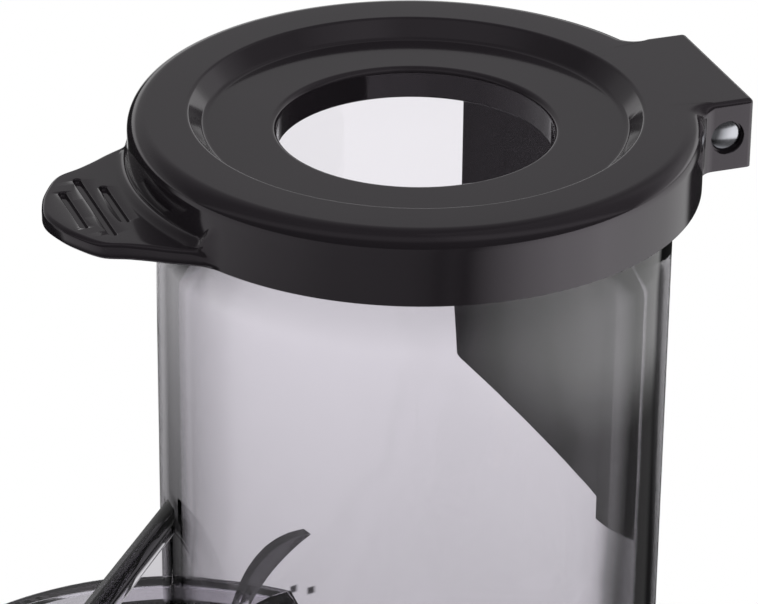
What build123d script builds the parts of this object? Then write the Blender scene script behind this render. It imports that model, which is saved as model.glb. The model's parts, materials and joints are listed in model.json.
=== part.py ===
"""Vertical cold press juicer: motor base with its gear train, juicing bowl with
strainer, wiper and auger, clear cover with an eccentric feed tube, and a hinged lid.

Frame: origin on the auger's axis, on the surface that the feet stand on. +Z is up.
The user and the lid's thumb tab are toward -Y, and the lid's hinge is toward +Y.
"""
import os
from math import acos, asin, atan2, cos, degrees, pi, radians, sin, sqrt, tan

from build123d import *

os.makedirs("parts", exist_ok=True)

# ================================================================ driving sizes, mm
rest_gap = 0.3          # between bodies that only rest on or pass each other
shaft_clearance = 0.05  # radial running fit of shafts, pins and axles
press_clearance = 0.02  # radial, between pieces that are pressed together
small_fillet = 0.8

# heights of the stack
foot_height = 4.0
deck_z = 205.0          # the face of the base that the bowl stands on
bowl_height = 117.0
cover_height = 32.0     # from the bowl's rim to the top of the platform
chute_rise = 112.5      # from the platform to the top of the chute lid

# cover and feed tube
tube_r = 43.0
tube_wall = 3.6
tube_offset = 43.0      # from the auger's axis back to the tube's axis
tube_top_drop = 3.0     # the tube's rim lies this far below the lid's top
cover_wall = 3.0
skirt_wall = 2.7
skirt_overlap = 12.0
shoulder_run = 6.0      # from the skirt in to the platform's rim
shoulder_drop = 16.0
floor_rear_drop = 2.5   # rear end of the chute's sloping floor, below the platform
floor_front_rise = 2.0  # its front end, above the strainer's funnel
funnel_rise = 2.0       # the strainer's funnel above the bowl's rim
cover_turn = 25.0       # degrees from locked to free
boss_r = 8.0
boss_depth = 11.0
bush_r = 5.5

# ribs on the cover
gusset_drop = 67.0      # top of the front gusset below the lid's top
gusset_slope = 49.5     # degrees
gusset_width = 4.0
gusset_flange = 2.6
gusset_web = 1.6
fin_bearing = 70.0      # degrees from the front gusset to the middle of a side fin
fin_tip_drop = 102.2    # tip of a side fin below the lid's top
fin_half_reach = 10.2
fin_thickness = 2.5
fin_foot = 4.0

# bayonet between bowl and cover
lug_count = 3
lug_angle = 14.0        # degrees taken by each lug
lug_reach = 1.6
lug_height = 4.0
lug_drop = 10.0         # underside of a lug below the bowl's rim

# chute lid
lid_r = 47.46
lid_height = 12.3
lid_edge_fillet = 2.8
lid_skirt_wall = 1.76
lid_ring_thickness = 2.7
lid_relief = 1.0        # depth taken off the skirt's inside at the hinge
recess_r = 37.5
recess_floor_r = 34.9
recess_depth = 3.04
recess_thickness = 2.6
hole_r = 22.88
collar_height = 5.5
collar_wall = 2.3
tab_reach = 63.5        # tip of the thumb tab from the tube's axis
tab_tip_half_width = 13.0
tab_tip_depth = 5.6
tab_root_half_width = 17.7
tab_root_reach = 49.4
tab_blend_half_width = 23.5
tab_thickness = 2.8
tab_edge_fillet = 1.0
groove_width = 1.3
groove_depth = 0.6
groove_reaches = (58.6, 55.0, 51.7)
groove_lengths = (14.0, 22.0, 14.0)

# hinge of the chute lid
block_reach = 54.4      # end of the hinge block from the tube's axis
block_half_width = 14.3
block_height = 11.7
block_blend_r = 8.0
block_top_wall = 2.2
ear_half_gap = 8.0
pin_reach = 49.8
pin_drop = 6.4
hinge_pin_r = 2.3
pin_recess_r = 3.0
pin_recess_depth = 0.8
knuckle_r = 3.8
bracket_half_width = 7.6
bracket_drop = 22.0

# guard under the chute lid
guard_r = 38.8
guard_wall = 2.0
guard_half_angle = 56.5
guard_side_drop = 64.0
guard_flange_r = 27.0

# bowl
bowl_r = 57.0
bowl_wall = 3.0
duct_height = 20.0      # height of the pulp duct below the main floor
duct_half_width = 15.0
duct_wall = 2.5
duct_margin = 40.0      # reach of the duct and of the spout beyond the bowl's wall
spout_margin = 35.0
pulp_hole_gap = 4.5     # from the sun gear's pitch circle out to the pulp hole
pulp_hole_length = 8.5
pulp_hole_half_width = 7.0
chute_wall = 1.5
spout_r = 10.0
spout_bore_r = 7.5
centre_tube_r = 12.0
centre_bore_r = 9.0
centre_tube_rise = 18.0
centre_tube_drop = 6.0
seal_r = 7.4
seal_height = 10.0
seal_lip = 1.2

# cap of the juice spout
cap_r = 12.5
cap_thickness = 3.2
cap_seal_r = 9.5
cap_seal_thickness = 1.5
cap_pin_r = 1.5
cap_pin_rise = 14.0     # above the spout's axis
cap_pin_back = 6.0      # behind the spout's mouth
cap_lug_half_width = 3.0
cap_lug_r = 3.2
cap_ear_width = 2.6

# drive of the wiper: sun on the auger, one idler, ring on the wiper
wiper_module = 1.5
sun_teeth = 24
idler_teeth = 12
drive_face = 8.0
idler_bearing = 0.0     # degrees, direction of the idler from the auger's axis

# strainer
frame_wall = 3.4
mesh_thickness = 0.6
mesh_slots = 40
mesh_slot_width = 1.4
mesh_rows = 3
frame_floor = 3.0
frame_ribs = 10
frame_rib_width = 4.0
frame_ring_height = 4.0
strainer_height = 78.0
sun_hole_gap = 2.3      # round the sun gear's pitch circle
leg_r = 3.0
flange_thickness = 3.0

# wiper
wiper_margin = 7.0      # from the bowl's inside to the wiper's frame
wiper_depth = 4.5
wiper_clearance = 1.3   # round the strainer
wiper_posts = 4
wiper_post_width = 6.0
wiper_rim_height = 3.0
blade_thickness = 1.5
blade_clearance = 0.4   # from the strainer to the blades

# auger
auger_clearance = 0.5   # from the mesh to the flight
auger_foot_r = 22.0
auger_neck_r = 14.0
flight_pitch = 26.0
flight_root_half = 3.6  # half thickness of the flight at its root
flight_tip_half = 1.2
flight_path_r = 18.0    # radius of the helix that the flight follows
flight_root_r = 10.0    # inside the auger's body
flight_turn = 37.0      # degrees from +X to the flight's foot
shaft_flats = 12.0
socket_clearance = 0.1
shaft_top_rise = 67.0   # top of the drive shaft above the deck
auger_bore_clearance = 0.6
hook_clearance = 3.0    # from the chamber's wall to the hook
hook_height = 14.0
top_pin_r = 3.5

# base housing
foot_r = 9.0
base_wall = 3.0
deck_margin_x = 12.0    # from the bowl's wall to the deck's edge, at the sides
deck_margin_y = 18.0    # and on average at the front and back
deck_flat = 3.0         # half the straight part of the deck's sides
base_flare = 11.5       # the base is wider than the deck by this much all round
base_shift = 6.5        # middle of the base behind the auger's axis
housing_bottom_z = 3.4
deck_thickness = 4.0
deck_fillet = 7.0
collar_rise = 5.0
collar_width = 4.5
plate_thickness = 3.0
post_r = 5.5
post_sink = 1.5         # depth of a post in the housing's wall
foot_inset = 15.0       # from a screw post in to the rubber foot beside it
post_height = 40.0
screw_r = 1.6
screw_head_r = 3.4
screw_head_height = 2.0
vent_count = 13
vent_pitch = 6.0
vent_width = 2.6
vent_height = 26.0
vent_z = 50.0
gland_z = 20.0
gland_r = 6.5
gland_bore_r = 3.4
gland_flange_r = 9.5
gland_flange = 2.0

# selector knob
knob_y = 12.0
knob_drop = 85.0        # below the deck
knob_pad_rise = 8.0     # face of the pad beyond the deck's edge
knob_pad_depth = 14.0
knob_grip_depth = 8.0   # depth of the stem in the switch
knob_r = 17.0
knob_depth = 14.0
knob_taper_r = 15.5
knob_bar_width = 7.0
knob_bar_height = 6.0
knob_pad_r = 22.0
knob_stem_r = 3.0
switch_size = 22.0
switch_depth = 15.0

# gear train: pinion, first gear, second gear, output gear
stage_modules = (0.8, 1.0, 1.25)
pinion_teeth = (10, 12, 12)
wheel_teeth = (50, 36, 42)
stage_faces = (8.0, 9.0, 14.0)
stage_gap = 1.2
train_bearing = 90.0    # degrees, middle direction of the two axles
axle_r = 2.8
case_r = 58.0
case_wall = 3.0
case_drop = 67.0        # from the deck down to the underside of the gearbox
rotor_shaft_r = 4.0
output_shaft_r = 7.0
output_bearing_r = 13.0
output_bearing_height = 9.0
deck_hole_r = 11.0

# motor
stator_r = 40.0
stator_bore_r = 22.0
stator_height = 48.0
rotor_gap = 0.5
stator_top_drop = 26.0  # below the gearbox
fan_r = 32.0
fan_blades = 8
fan_height = 8.0
motor_bearing_r = 9.0
motor_bearing_height = 6.0
bracket_depth = 22.0    # end bell below the stator
bell_wall = 2.5
commutator_r = 11.0

# control board
board_width, board_height, board_thickness = 62.0, 42.0, 1.6
board_y = 72.0
board_lift = 2.0

# ================================================================ derived places
bowl_z = deck_z + rest_gap
rim_z = bowl_z + bowl_height
platform_z = rim_z + cover_height
lid_z = platform_z + chute_rise
tube_top_z = lid_z - tube_top_drop
tube_bore_r = tube_r - tube_wall
tube_axis = (0.0, tube_offset)
pin_y = tube_offset + pin_reach
pin_z = lid_z - pin_drop
bowl_bore_r = bowl_r - bowl_wall
skirt_bore_r = bowl_r + rest_gap
skirt_r = skirt_bore_r + skirt_wall
platform_r = skirt_r - shoulder_run
duct_reach = bowl_r + duct_margin
spout_reach = bowl_r + spout_margin
wiper_ring_r = bowl_bore_r - wiper_margin
wiper_in_r = wiper_ring_r - wiper_depth
chamber_r = wiper_ring_r - cover_wall
frame_r = wiper_in_r - wiper_clearance
mesh_r = frame_r - frame_wall
auger_r = mesh_r - auger_clearance
blade_in_r = frame_r + blade_clearance
hook_r = chamber_r - hook_clearance
main_floor_z = bowl_z + duct_height + bowl_wall
gear_z = main_floor_z + rest_gap
strainer_floor_z = main_floor_z + drive_face + 2.0
strainer_top_z = strainer_floor_z + strainer_height
funnel_top_z = rim_z + funnel_rise
deck_low_z = deck_z - deck_thickness
sun_r = wiper_module * sun_teeth / 2
idler_r = wiper_module * idler_teeth / 2
ring_teeth = sun_teeth + 2 * idler_teeth
idler_centre_r = sun_r + idler_r
sun_hole_r = sun_r + sun_hole_gap
pulp_hole_in = sun_r + pulp_hole_gap
pulp_hole_out = pulp_hole_in + pulp_hole_length
base_top_x = 2 * (bowl_r + deck_margin_x)
base_top_y = 2 * (bowl_r + deck_margin_y)
base_top_r = base_top_x / 2 - deck_flat
knob_face_x = base_top_x / 2 + knob_pad_rise
knob_z = deck_z - knob_drop
case_z = deck_z - case_drop


# ================================================================ shared shapes
def upright(x, y, z, turn=0.0):
    """A horizontal plane through the given point, turned about the vertical."""
    return Plane(origin=(x, y, z), x_dir=(cos(radians(turn)), sin(radians(turn)), 0), z_dir=(0, 0, 1))


def sector(inner, outer, start, sweep):
    """Face of a ring sector about the sketch's origin, angles in degrees."""
    with BuildSketch(mode=Mode.PRIVATE) as ring:
        with BuildLine():
            far = CenterArc((0, 0), outer, start, sweep)
            near = CenterArc((0, 0), inner, start, sweep)
            Line(far @ 0, near @ 0)
            Line(far @ 1, near @ 1)
        make_face()
    return ring.sketch


def gear_face(module, teeth, phase, addendum=0.8, dedendum=1.15, backlash=0.2):
    """Outline of a spur gear with a tooth at the angle phase, in degrees."""
    pitch_r = module * teeth / 2
    base_r = pitch_r * cos(radians(20))
    radii = (pitch_r - dedendum * module, pitch_r, pitch_r + addendum * module)

    def involute(r):
        turn = acos(min(1.0, base_r / max(r, base_r)))
        return tan(turn) - turn

    def half_angle(r):
        return pi / (2 * teeth) - backlash / (2 * pitch_r) + involute(pitch_r) - involute(r)

    def spot(r, side):
        return (r * cos(side * half_angle(r)), r * sin(side * half_angle(r)))

    with BuildSketch(mode=Mode.PRIVATE) as tooth:
        with BuildLine():
            left = ThreePointArc(*[spot(r, 1) for r in radii])
            right = ThreePointArc(*[spot(r, -1) for r in radii])
            Line(left @ 1, right @ 1)
            Polyline(left @ 0, (0.9 * radii[0], 0), right @ 0)
        make_face()
    with BuildSketch(mode=Mode.PRIVATE) as gear:
        Circle(radii[0] + 0.01)
        with PolarLocations(0, teeth, start_angle=phase):
            add(tooth.sketch)
    return gear.sketch


def mesh_phase(phase, teeth, next_teeth, bearing):
    """Phase of the gear that meshes, in the direction bearing, with one of known phase."""
    part_of_tooth = (bearing - phase) * teeth / 360
    return bearing + 180 - (0.5 - part_of_tooth) * 360 / next_teeth


def finish(part, name):
    part.label = name
    export_step(part, "parts/" + name + ".step")


# ================================================================ cover with feed tube
floor_rear = (tube_offset + tube_bore_r, platform_z - floor_rear_drop)
floor_front = (
    (tube_offset**2 + chamber_r**2 - tube_r**2) / (2 * tube_offset),
    funnel_top_z + floor_front_rise,
)
floor_slope = (floor_rear[1] - floor_front[1]) / (floor_rear[0] - floor_front[0])
chamber_low_z = funnel_top_z + rest_gap
platform_low_z = platform_z - cover_wall
shoulder_z = platform_z - shoulder_drop
skirt_z = rim_z - skirt_overlap
track_r = bowl_r + lug_reach + rest_gap
lug_z = rim_z - lug_drop
inner_r = skirt_r - cover_wall - 1


def over_floor(lower):
    """Side view of what lies above the chute's floor, the floor lowered by some depth."""
    ends = (-tube_r, tube_offset + 2 * tube_r)
    lows = [(y, floor_front[1] + floor_slope * (y - floor_front[0]) - lower) for y in ends]
    with BuildSketch(Plane.YZ, mode=Mode.PRIVATE) as side:
        with BuildLine():
            Polyline(*lows, (ends[1], 2 * lid_z), (ends[0], 2 * lid_z), close=True)
        make_face()
    return side.sketch


with BuildPart() as tube_outside:
    with BuildSketch(upright(*tube_axis, chamber_low_z)):
        Circle(tube_r)
    extrude(amount=tube_top_z - chamber_low_z)
    extrude(over_floor(cover_wall), amount=2 * tube_r, both=True, mode=Mode.INTERSECT)

with BuildPart() as tube_inside:
    with BuildSketch(upright(*tube_axis, chamber_low_z)):
        Circle(tube_bore_r)
    extrude(amount=lid_z - chamber_low_z)
    extrude(over_floor(0), amount=2 * tube_r, both=True, mode=Mode.INTERSECT)

fin_plane = Plane(
    origin=(*tube_axis, lid_z),
    x_dir=(cos(radians(-fin_bearing)), sin(radians(-fin_bearing)), 0),
    z_dir=(cos(radians(270 - fin_bearing)), sin(radians(270 - fin_bearing)), 0),
)
with BuildPart() as side_fins:
    with BuildSketch(fin_plane):
        with BuildLine():
            tip = (-fin_half_reach, -fin_tip_drop)
            upper_foot = (fin_half_reach, -chute_rise - 1)
            lower_foot = (fin_half_reach - fin_foot, -chute_rise - 1)
            upper = ThreePointArc(tip, (1.6, -fin_tip_drop - 2.2), upper_foot)
            lower = ThreePointArc(tip, (-0.4, -fin_tip_drop - 5.6), lower_foot)
            Line(upper_foot, lower_foot)
        make_face()
    extrude(amount=2 * tube_r)
    with BuildSketch(upright(*tube_axis, platform_z - cover_wall)):
        Circle(tube_r + fin_thickness)
        Circle(tube_r - 0.5, mode=Mode.SUBTRACT)
    extrude(amount=chute_rise, mode=Mode.INTERSECT)
    mirror(about=Plane.YZ)

with BuildPart() as cover:
    with BuildSketch(Plane.XZ):
        with BuildLine():
            Polyline(
                (0, platform_z), (platform_r, platform_z), (skirt_r, shoulder_z),
                (skirt_r, skirt_z), (skirt_bore_r, skirt_z), (skirt_bore_r, rim_z + rest_gap),
                (inner_r, rim_z + rest_gap), (inner_r, shoulder_z),
                (platform_r - cover_wall, platform_low_z), (0, platform_low_z),
                close=True,
            )
        make_face()
    revolve(axis=Axis.Z)
    fillet(cover.edges().filter_by(GeomType.CIRCLE).group_by(Axis.Z)[-1], small_fillet)
    with BuildSketch(upright(0, 0, chamber_low_z)):
        Circle(chamber_r + cover_wall)
    extrude(amount=platform_low_z - chamber_low_z + 1)
    add(tube_outside.part)
    add(tube_inside.part, mode=Mode.SUBTRACT)
    with BuildSketch(upright(0, 0, chamber_low_z)):
        Circle(chamber_r)
    extrude(amount=platform_low_z - chamber_low_z, mode=Mode.SUBTRACT)
    # boss that holds the top bush
    with BuildSketch(upright(0, 0, platform_low_z - boss_depth)):
        Circle(boss_r)
    extrude(amount=boss_depth + 1)
    with BuildSketch(upright(0, 0, platform_low_z - boss_depth)):
        Circle(bush_r)
    extrude(amount=boss_depth - 1, mode=Mode.SUBTRACT)
    # front gusset: a flanged edge over a thin web
    gusset_top_z = lid_z - gusset_drop
    gusset_foot_y = -(gusset_top_z - platform_z) / tan(radians(gusset_slope))
    flange_rise = gusset_flange / cos(radians(gusset_slope))
    with BuildSketch(Plane.YZ):
        with BuildLine():
            Polyline(
                (1, gusset_top_z), (0, gusset_top_z), (gusset_foot_y, platform_z),
                (gusset_foot_y, platform_z - 1), (1, platform_z - 1), close=True,
            )
        make_face()
    extrude(amount=gusset_web / 2, both=True)
    with BuildSketch(Plane.YZ):
        with BuildLine():
            Polyline(
                (1, gusset_top_z), (0, gusset_top_z), (gusset_foot_y, platform_z),
                (gusset_foot_y, platform_z - 1), (gusset_foot_y + 2 * gusset_flange, platform_z - 1),
                (1, gusset_top_z - flange_rise), close=True,
            )
        make_face()
    extrude(amount=gusset_width / 2, both=True)
    add(side_fins.part)
    # bracket of the lid's hinge, round about the pin and tapering down to the tube
    wall_y = tube_offset + tube_r - 1
    with BuildSketch(Plane.YZ):
        with Locations((pin_y, pin_z)):
            Circle(knuckle_r)
        with BuildLine():
            Polyline(
                (wall_y, tube_top_z - rest_gap), (pin_y, pin_z + knuckle_r),
                (pin_y + knuckle_r * sin(radians(40)), pin_z - knuckle_r * cos(radians(40))),
                (wall_y, lid_z - bracket_drop), close=True,
            )
        make_face()
    extrude(amount=bracket_half_width, both=True)
    with BuildSketch(Plane.YZ):
        with Locations((pin_y, pin_z)):
            Circle(hinge_pin_r + shaft_clearance)
    extrude(amount=2 * bracket_half_width, both=True, mode=Mode.SUBTRACT)
    # bayonet tracks in the skirt, each with its entry from below
    for index in range(lug_count):
        closed = 90 + index * 360 / lug_count - lug_angle / 2 - 1
        with BuildSketch(upright(0, 0, lug_z - rest_gap)):
            add(sector(skirt_bore_r - 1, track_r, closed - cover_turn, lug_angle + 2 + cover_turn))
        extrude(amount=lug_height + 2 * rest_gap, mode=Mode.SUBTRACT)
        with BuildSketch(upright(0, 0, skirt_z - 1)):
            add(sector(skirt_bore_r - 1, track_r, closed - cover_turn, lug_angle + 2))
        extrude(amount=lug_z - skirt_z + 1, mode=Mode.SUBTRACT)
finish(cover.part, "cover")

with BuildPart() as cover_bush:
    with BuildSketch(upright(0, 0, platform_low_z - boss_depth)):
        Circle(bush_r - press_clearance)
        Circle(top_pin_r + shaft_clearance, mode=Mode.SUBTRACT)
    extrude(amount=boss_depth - 1)
finish(cover_bush.part, "cover_bush")

# ================================================================ chute lid
lid_plane = upright(*tube_axis, lid_z)
hinge_axis = Axis((0, pin_y, pin_z), (1, 0, 0))
with BuildPart() as lid_outside:
    with BuildSketch(lid_plane):
        Circle(lid_r)
        with Locations((0, block_reach / 2)):
            Rectangle(2 * block_half_width, block_reach)
    extrude(amount=-block_height)
    side_edges = lid_outside.edges().filter_by(Axis.Z).sort_by(Axis.Y)
    blends = [e for e in side_edges if abs(abs(e.center().X) - block_half_width) < 0.1 and e.center().Y < pin_y]
    fillet(blends, block_blend_r)
    fillet(lid_outside.faces().sort_by(Axis.Z)[-1].edges(), lid_edge_fillet)
    with BuildSketch(upright(*tube_axis, lid_z - lid_height)):
        Circle(lid_r)
    extrude(amount=lid_height - lid_edge_fillet)

with BuildPart() as thumb_tab:
    with BuildSketch(upright(*tube_axis, lid_z - lid_height)):
        with BuildLine():
            end_left = (-tab_tip_half_width, -tab_reach + tab_tip_depth)
            end_right = (tab_tip_half_width, -tab_reach + tab_tip_depth)
            root_y = -sqrt(lid_r**2 - tab_blend_half_width**2)
            waist = (tab_root_half_width - 1.2, -tab_root_reach - 2)
            nose = ThreePointArc(end_left, (0, -tab_reach), end_right)
            side = TangentArc(end_right, waist, tangent=nose % 1)
            right = TangentArc(waist, (tab_blend_half_width, root_y), tangent=side % 1)
            mirror(about=Plane.YZ)
            Polyline(right @ 1, (0, -lid_r / 2), (-tab_blend_half_width, root_y))
        make_face()
    extrude(amount=tab_thickness)
    rim = thumb_tab.edges().filter_by(lambda e: e.center().Y < tube_offset - tab_root_reach + 6)
    fillet(rim.filter_by(lambda e: abs(e.tangent_at(0.5).Z) < 0.1), tab_edge_fillet)
    for reach, length in zip(groove_reaches, groove_lengths):
        with BuildSketch(upright(*tube_axis, lid_z - lid_height + tab_thickness)):
            with Locations((0, -reach)):
                SlotOverall(length, groove_width)
        extrude(amount=-groove_depth, mode=Mode.SUBTRACT)

under_z = recess_depth + recess_thickness
with BuildPart() as chute_lid:
    add(lid_outside.part)
    add(thumb_tab.part)
    with BuildSketch(Plane(origin=(*tube_axis, lid_z), x_dir=(1, 0, 0), z_dir=(0, -1, 0))):
        with BuildLine():
            Polyline(
                (0, 1), (recess_r, 1), (recess_r, 0), (recess_floor_r, -recess_depth),
                (hole_r, -recess_depth), (hole_r, -2 * lid_height), (0, -2 * lid_height), close=True,
            )
        make_face()
    revolve(axis=Axis((*tube_axis, 0), (0, 0, 1)), mode=Mode.SUBTRACT)
    with BuildSketch(Plane(origin=(*tube_axis, lid_z), x_dir=(1, 0, 0), z_dir=(0, -1, 0))):
        with BuildLine():
            skirt_in_r = lid_r - lid_skirt_wall
            Polyline(
                (hole_r + collar_wall, -under_z), (recess_floor_r + 2, -under_z),
                (recess_r + 1.7, -lid_ring_thickness), (skirt_in_r, -lid_ring_thickness),
                (skirt_in_r, -lid_height - 1), (hole_r + collar_wall, -lid_height - 1), close=True,
            )
        make_face()
    revolve(axis=Axis((*tube_axis, 0), (0, 0, 1)), mode=Mode.SUBTRACT)
    with BuildSketch(upright(*tube_axis, lid_z - recess_depth - collar_height)):
        Circle(hole_r + collar_wall + 1)
    extrude(amount=-lid_height, mode=Mode.SUBTRACT)
    # the skirt is thinner at the hinge, where it swings past the tube
    half_sweep = degrees(asin(block_half_width / skirt_in_r))
    with BuildSketch(upright(*tube_axis, lid_z - lid_ring_thickness)):
        add(sector(tube_r, skirt_in_r + lid_relief, 90 - half_sweep, 2 * half_sweep))
    extrude(amount=-lid_height, mode=Mode.SUBTRACT)
    # room for the bracket between the ears, then the bore for the pin
    with BuildSketch(upright(0, tube_offset + (skirt_in_r + block_reach) / 2, lid_z - block_top_wall)):
        Rectangle(2 * ear_half_gap, block_reach - skirt_in_r + 3)
    extrude(amount=-lid_height, mode=Mode.SUBTRACT)
    with BuildSketch(Plane.YZ):
        with Locations((pin_y, pin_z)):
            Circle(hinge_pin_r + press_clearance)
    extrude(amount=2 * block_half_width, both=True, mode=Mode.SUBTRACT)
    for side in (-1, 1):
        with BuildSketch(Plane.YZ.offset(side * (block_half_width - pin_recess_depth))):
            with Locations((pin_y, pin_z)):
                Circle(pin_recess_r)
        extrude(amount=side * 2 * pin_recess_depth, mode=Mode.SUBTRACT)
finish(chute_lid.part, "chute_lid")

with BuildPart() as hinge_pin:
    with BuildSketch(Plane.YZ.offset(-block_half_width + pin_recess_depth)):
        with Locations((pin_y, pin_z)):
            Circle(hinge_pin_r)
    extrude(amount=2 * (block_half_width - pin_recess_depth))
finish(hinge_pin.part, "hinge_pin")

with BuildPart() as lid_guard:
    guard_top_z = lid_z - under_z
    guard_side_y = tube_offset + (guard_r - guard_wall) * cos(radians(guard_half_angle))
    with BuildSketch(upright(*tube_axis, guard_top_z)):
        add(sector(guard_r - guard_wall, guard_r, 90 - guard_half_angle, 2 * guard_half_angle))
    extrude(amount=-chute_rise)
    with BuildSketch(Plane.YZ):
        with BuildLine():
            reach = guard_r
            Polyline(
                (guard_side_y - reach, lid_z), (guard_side_y - reach, lid_z - guard_side_drop + reach),
                (guard_side_y + reach, lid_z - guard_side_drop - reach), (guard_side_y + reach, lid_z),
                close=True,
            )
        make_face()
    extrude(amount=2 * tube_r, both=True, mode=Mode.INTERSECT)
    with BuildSketch(upright(*tube_axis, guard_top_z)):
        add(sector(guard_flange_r, guard_r, 90 - guard_half_angle, 2 * guard_half_angle))
    extrude(amount=-guard_wall)
finish(lid_guard.part, "lid_guard")


# ================================================================ juicing bowl
juice_z = main_floor_z + spout_r - rest_gap
tube_low_z = main_floor_z - bowl_wall - centre_tube_drop
centre_top_z = main_floor_z + centre_tube_rise
leg_bearings = (60.0, 300.0)
with BuildPart() as juicing_bowl:
    with BuildSketch(Plane.XZ):
        with BuildLine():
            Polyline(
                (centre_bore_r, tube_low_z), (centre_tube_r, tube_low_z),
                (centre_tube_r, main_floor_z - bowl_wall), (bowl_bore_r, main_floor_z - bowl_wall),
                (bowl_bore_r, bowl_z), (bowl_r, bowl_z), (bowl_r, rim_z), (bowl_bore_r, rim_z),
                (bowl_bore_r, main_floor_z), (centre_tube_r, main_floor_z),
                (centre_tube_r, centre_top_z), (centre_bore_r, centre_top_z), close=True,
            )
        make_face()
    revolve(axis=Axis.Z)
    fillet(juicing_bowl.edges().filter_by(GeomType.CIRCLE).group_by(Axis.Z)[-1], small_fillet)
    # pulp duct under the floor toward -X
    duct_span = duct_reach - pulp_hole_in + 5
    with BuildSketch(upright(-duct_reach + duct_span / 2, 0, bowl_z)):
        RectangleRounded(duct_span, 2 * duct_half_width, duct_wall)
    extrude(amount=duct_height + bowl_wall / 2)
    duct_low_z = bowl_z + duct_wall
    duct_high_z = main_floor_z - bowl_wall - rest_gap
    inside_span = duct_span - duct_wall + 1
    with BuildSketch(upright(-duct_reach - 1 + inside_span / 2, 0, duct_low_z)):
        Rectangle(inside_span, 2 * (duct_half_width - duct_wall))
    extrude(amount=duct_high_z - duct_low_z, mode=Mode.SUBTRACT)
    pulp_mid = -(pulp_hole_in + pulp_hole_out) / 2
    pulp_span = pulp_hole_out - pulp_hole_in
    sleeve_gap = chute_wall + rest_gap
    with BuildSketch(upright(pulp_mid, 0, duct_high_z - 1)):
        Rectangle(pulp_span + 2 * sleeve_gap, 2 * (pulp_hole_half_width + sleeve_gap))
    extrude(amount=bowl_wall + 2, mode=Mode.SUBTRACT)
    # juice spout toward -Y with the lug of its cap
    with BuildSketch(Plane.XZ.offset(bowl_bore_r + 0.5)):
        with Locations((0, juice_z)):
            Circle(spout_r)
    extrude(amount=spout_reach - bowl_bore_r - 0.5)
    cap_pin_y = -spout_reach + cap_pin_back
    cap_pin_z = juice_z + cap_pin_rise
    with BuildSketch(Plane.YZ):
        with Locations((cap_pin_y, cap_pin_z)):
            Circle(cap_lug_r)
        with BuildLine():
            Polyline(
                (cap_pin_y - cap_lug_r, cap_pin_z), (cap_pin_y + cap_lug_r, cap_pin_z),
                (cap_pin_y + 3 * cap_lug_r, juice_z + spout_r - 1),
                (cap_pin_y - cap_lug_r, juice_z + spout_r - 1), close=True,
            )
        make_face()
    extrude(amount=cap_lug_half_width, both=True)
    with BuildSketch(Plane.YZ):
        with Locations((cap_pin_y, cap_pin_z)):
            Circle(cap_pin_r + shaft_clearance)
    extrude(amount=2 * cap_lug_half_width, both=True, mode=Mode.SUBTRACT)
    with BuildSketch(Plane.XZ.offset(bowl_bore_r - 1)):
        with Locations((0, juice_z)):
            Circle(spout_bore_r)
    extrude(amount=spout_reach - bowl_bore_r + 2, mode=Mode.SUBTRACT)
    # bayonet lugs and the post of the idler gear
    for index in range(lug_count):
        with BuildSketch(upright(0, 0, lug_z)):
            start = 90 + index * 360 / lug_count - lug_angle / 2
            add(sector(bowl_r - 0.5, bowl_r + lug_reach, start, lug_angle))
        extrude(amount=lug_height)
    idler_spot = (
        idler_centre_r * cos(radians(idler_bearing)), idler_centre_r * sin(radians(idler_bearing)),
    )
    with BuildSketch(upright(*idler_spot, main_floor_z - 0.5)):
        Circle(leg_r)
    extrude(amount=strainer_floor_z - rest_gap - main_floor_z + 0.5)
finish(juicing_bowl.part, "juicing_bowl")

with BuildPart() as shaft_lip_seal:
    with BuildSketch(Plane.XZ):
        with BuildLine():
            lip_z = centre_top_z
            Polyline(
                (seal_r, lip_z - seal_height), (centre_bore_r - press_clearance, lip_z - seal_height),
                (centre_bore_r - press_clearance, lip_z), (centre_tube_r - 0.5, lip_z),
                (centre_tube_r - 0.5, lip_z + seal_lip), (seal_r, lip_z + seal_lip), close=True,
            )
        make_face()
    revolve(axis=Axis.Z)
finish(shaft_lip_seal.part, "shaft_lip_seal")

# ---------------------------------------------------------------- cap of the juice spout
seal_face_y = -spout_reach - rest_gap
cap_face_y = seal_face_y - cap_seal_thickness
cap_end_y = cap_face_y - cap_thickness
ear_in = cap_lug_half_width + rest_gap
ear_out = ear_in + cap_ear_width
with BuildPart() as juice_cap:
    with BuildSketch(Plane.XZ.offset(-cap_face_y)):
        with Locations((0, juice_z)):
            Circle(cap_r)
    extrude(amount=cap_thickness)
    chamfer(juice_cap.edges().filter_by(GeomType.CIRCLE).sort_by(Axis.Y)[0], small_fillet)
    for side in (-1, 1):
        with BuildSketch(Plane.YZ.offset(side * ear_in)):
            with Locations((cap_pin_y, cap_pin_z)):
                Circle(cap_lug_r)
            with BuildLine():
                Polyline(
                    (cap_pin_y, cap_pin_z + cap_lug_r), (cap_end_y + 1, juice_z + cap_r - 2),
                    (cap_end_y + 1, juice_z + cap_r - 6), (cap_face_y - 0.2, juice_z + cap_r - 6),
                    (cap_face_y - 0.2, cap_pin_z - cap_lug_r), (cap_pin_y, cap_pin_z - cap_lug_r),
                    close=True,
                )
            make_face()
        extrude(amount=side * cap_ear_width)
    with BuildSketch(Plane.YZ):
        with Locations((cap_pin_y, cap_pin_z)):
            Circle(cap_pin_r + press_clearance)
    extrude(amount=2 * ear_out, both=True, mode=Mode.SUBTRACT)
finish(juice_cap.part, "juice_cap")

with BuildPart() as cap_seal:
    with BuildSketch(Plane.XZ.offset(-seal_face_y)):
        with Locations((0, juice_z)):
            Circle(cap_seal_r)
    extrude(amount=cap_seal_thickness)
finish(cap_seal.part, "cap_seal")

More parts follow.
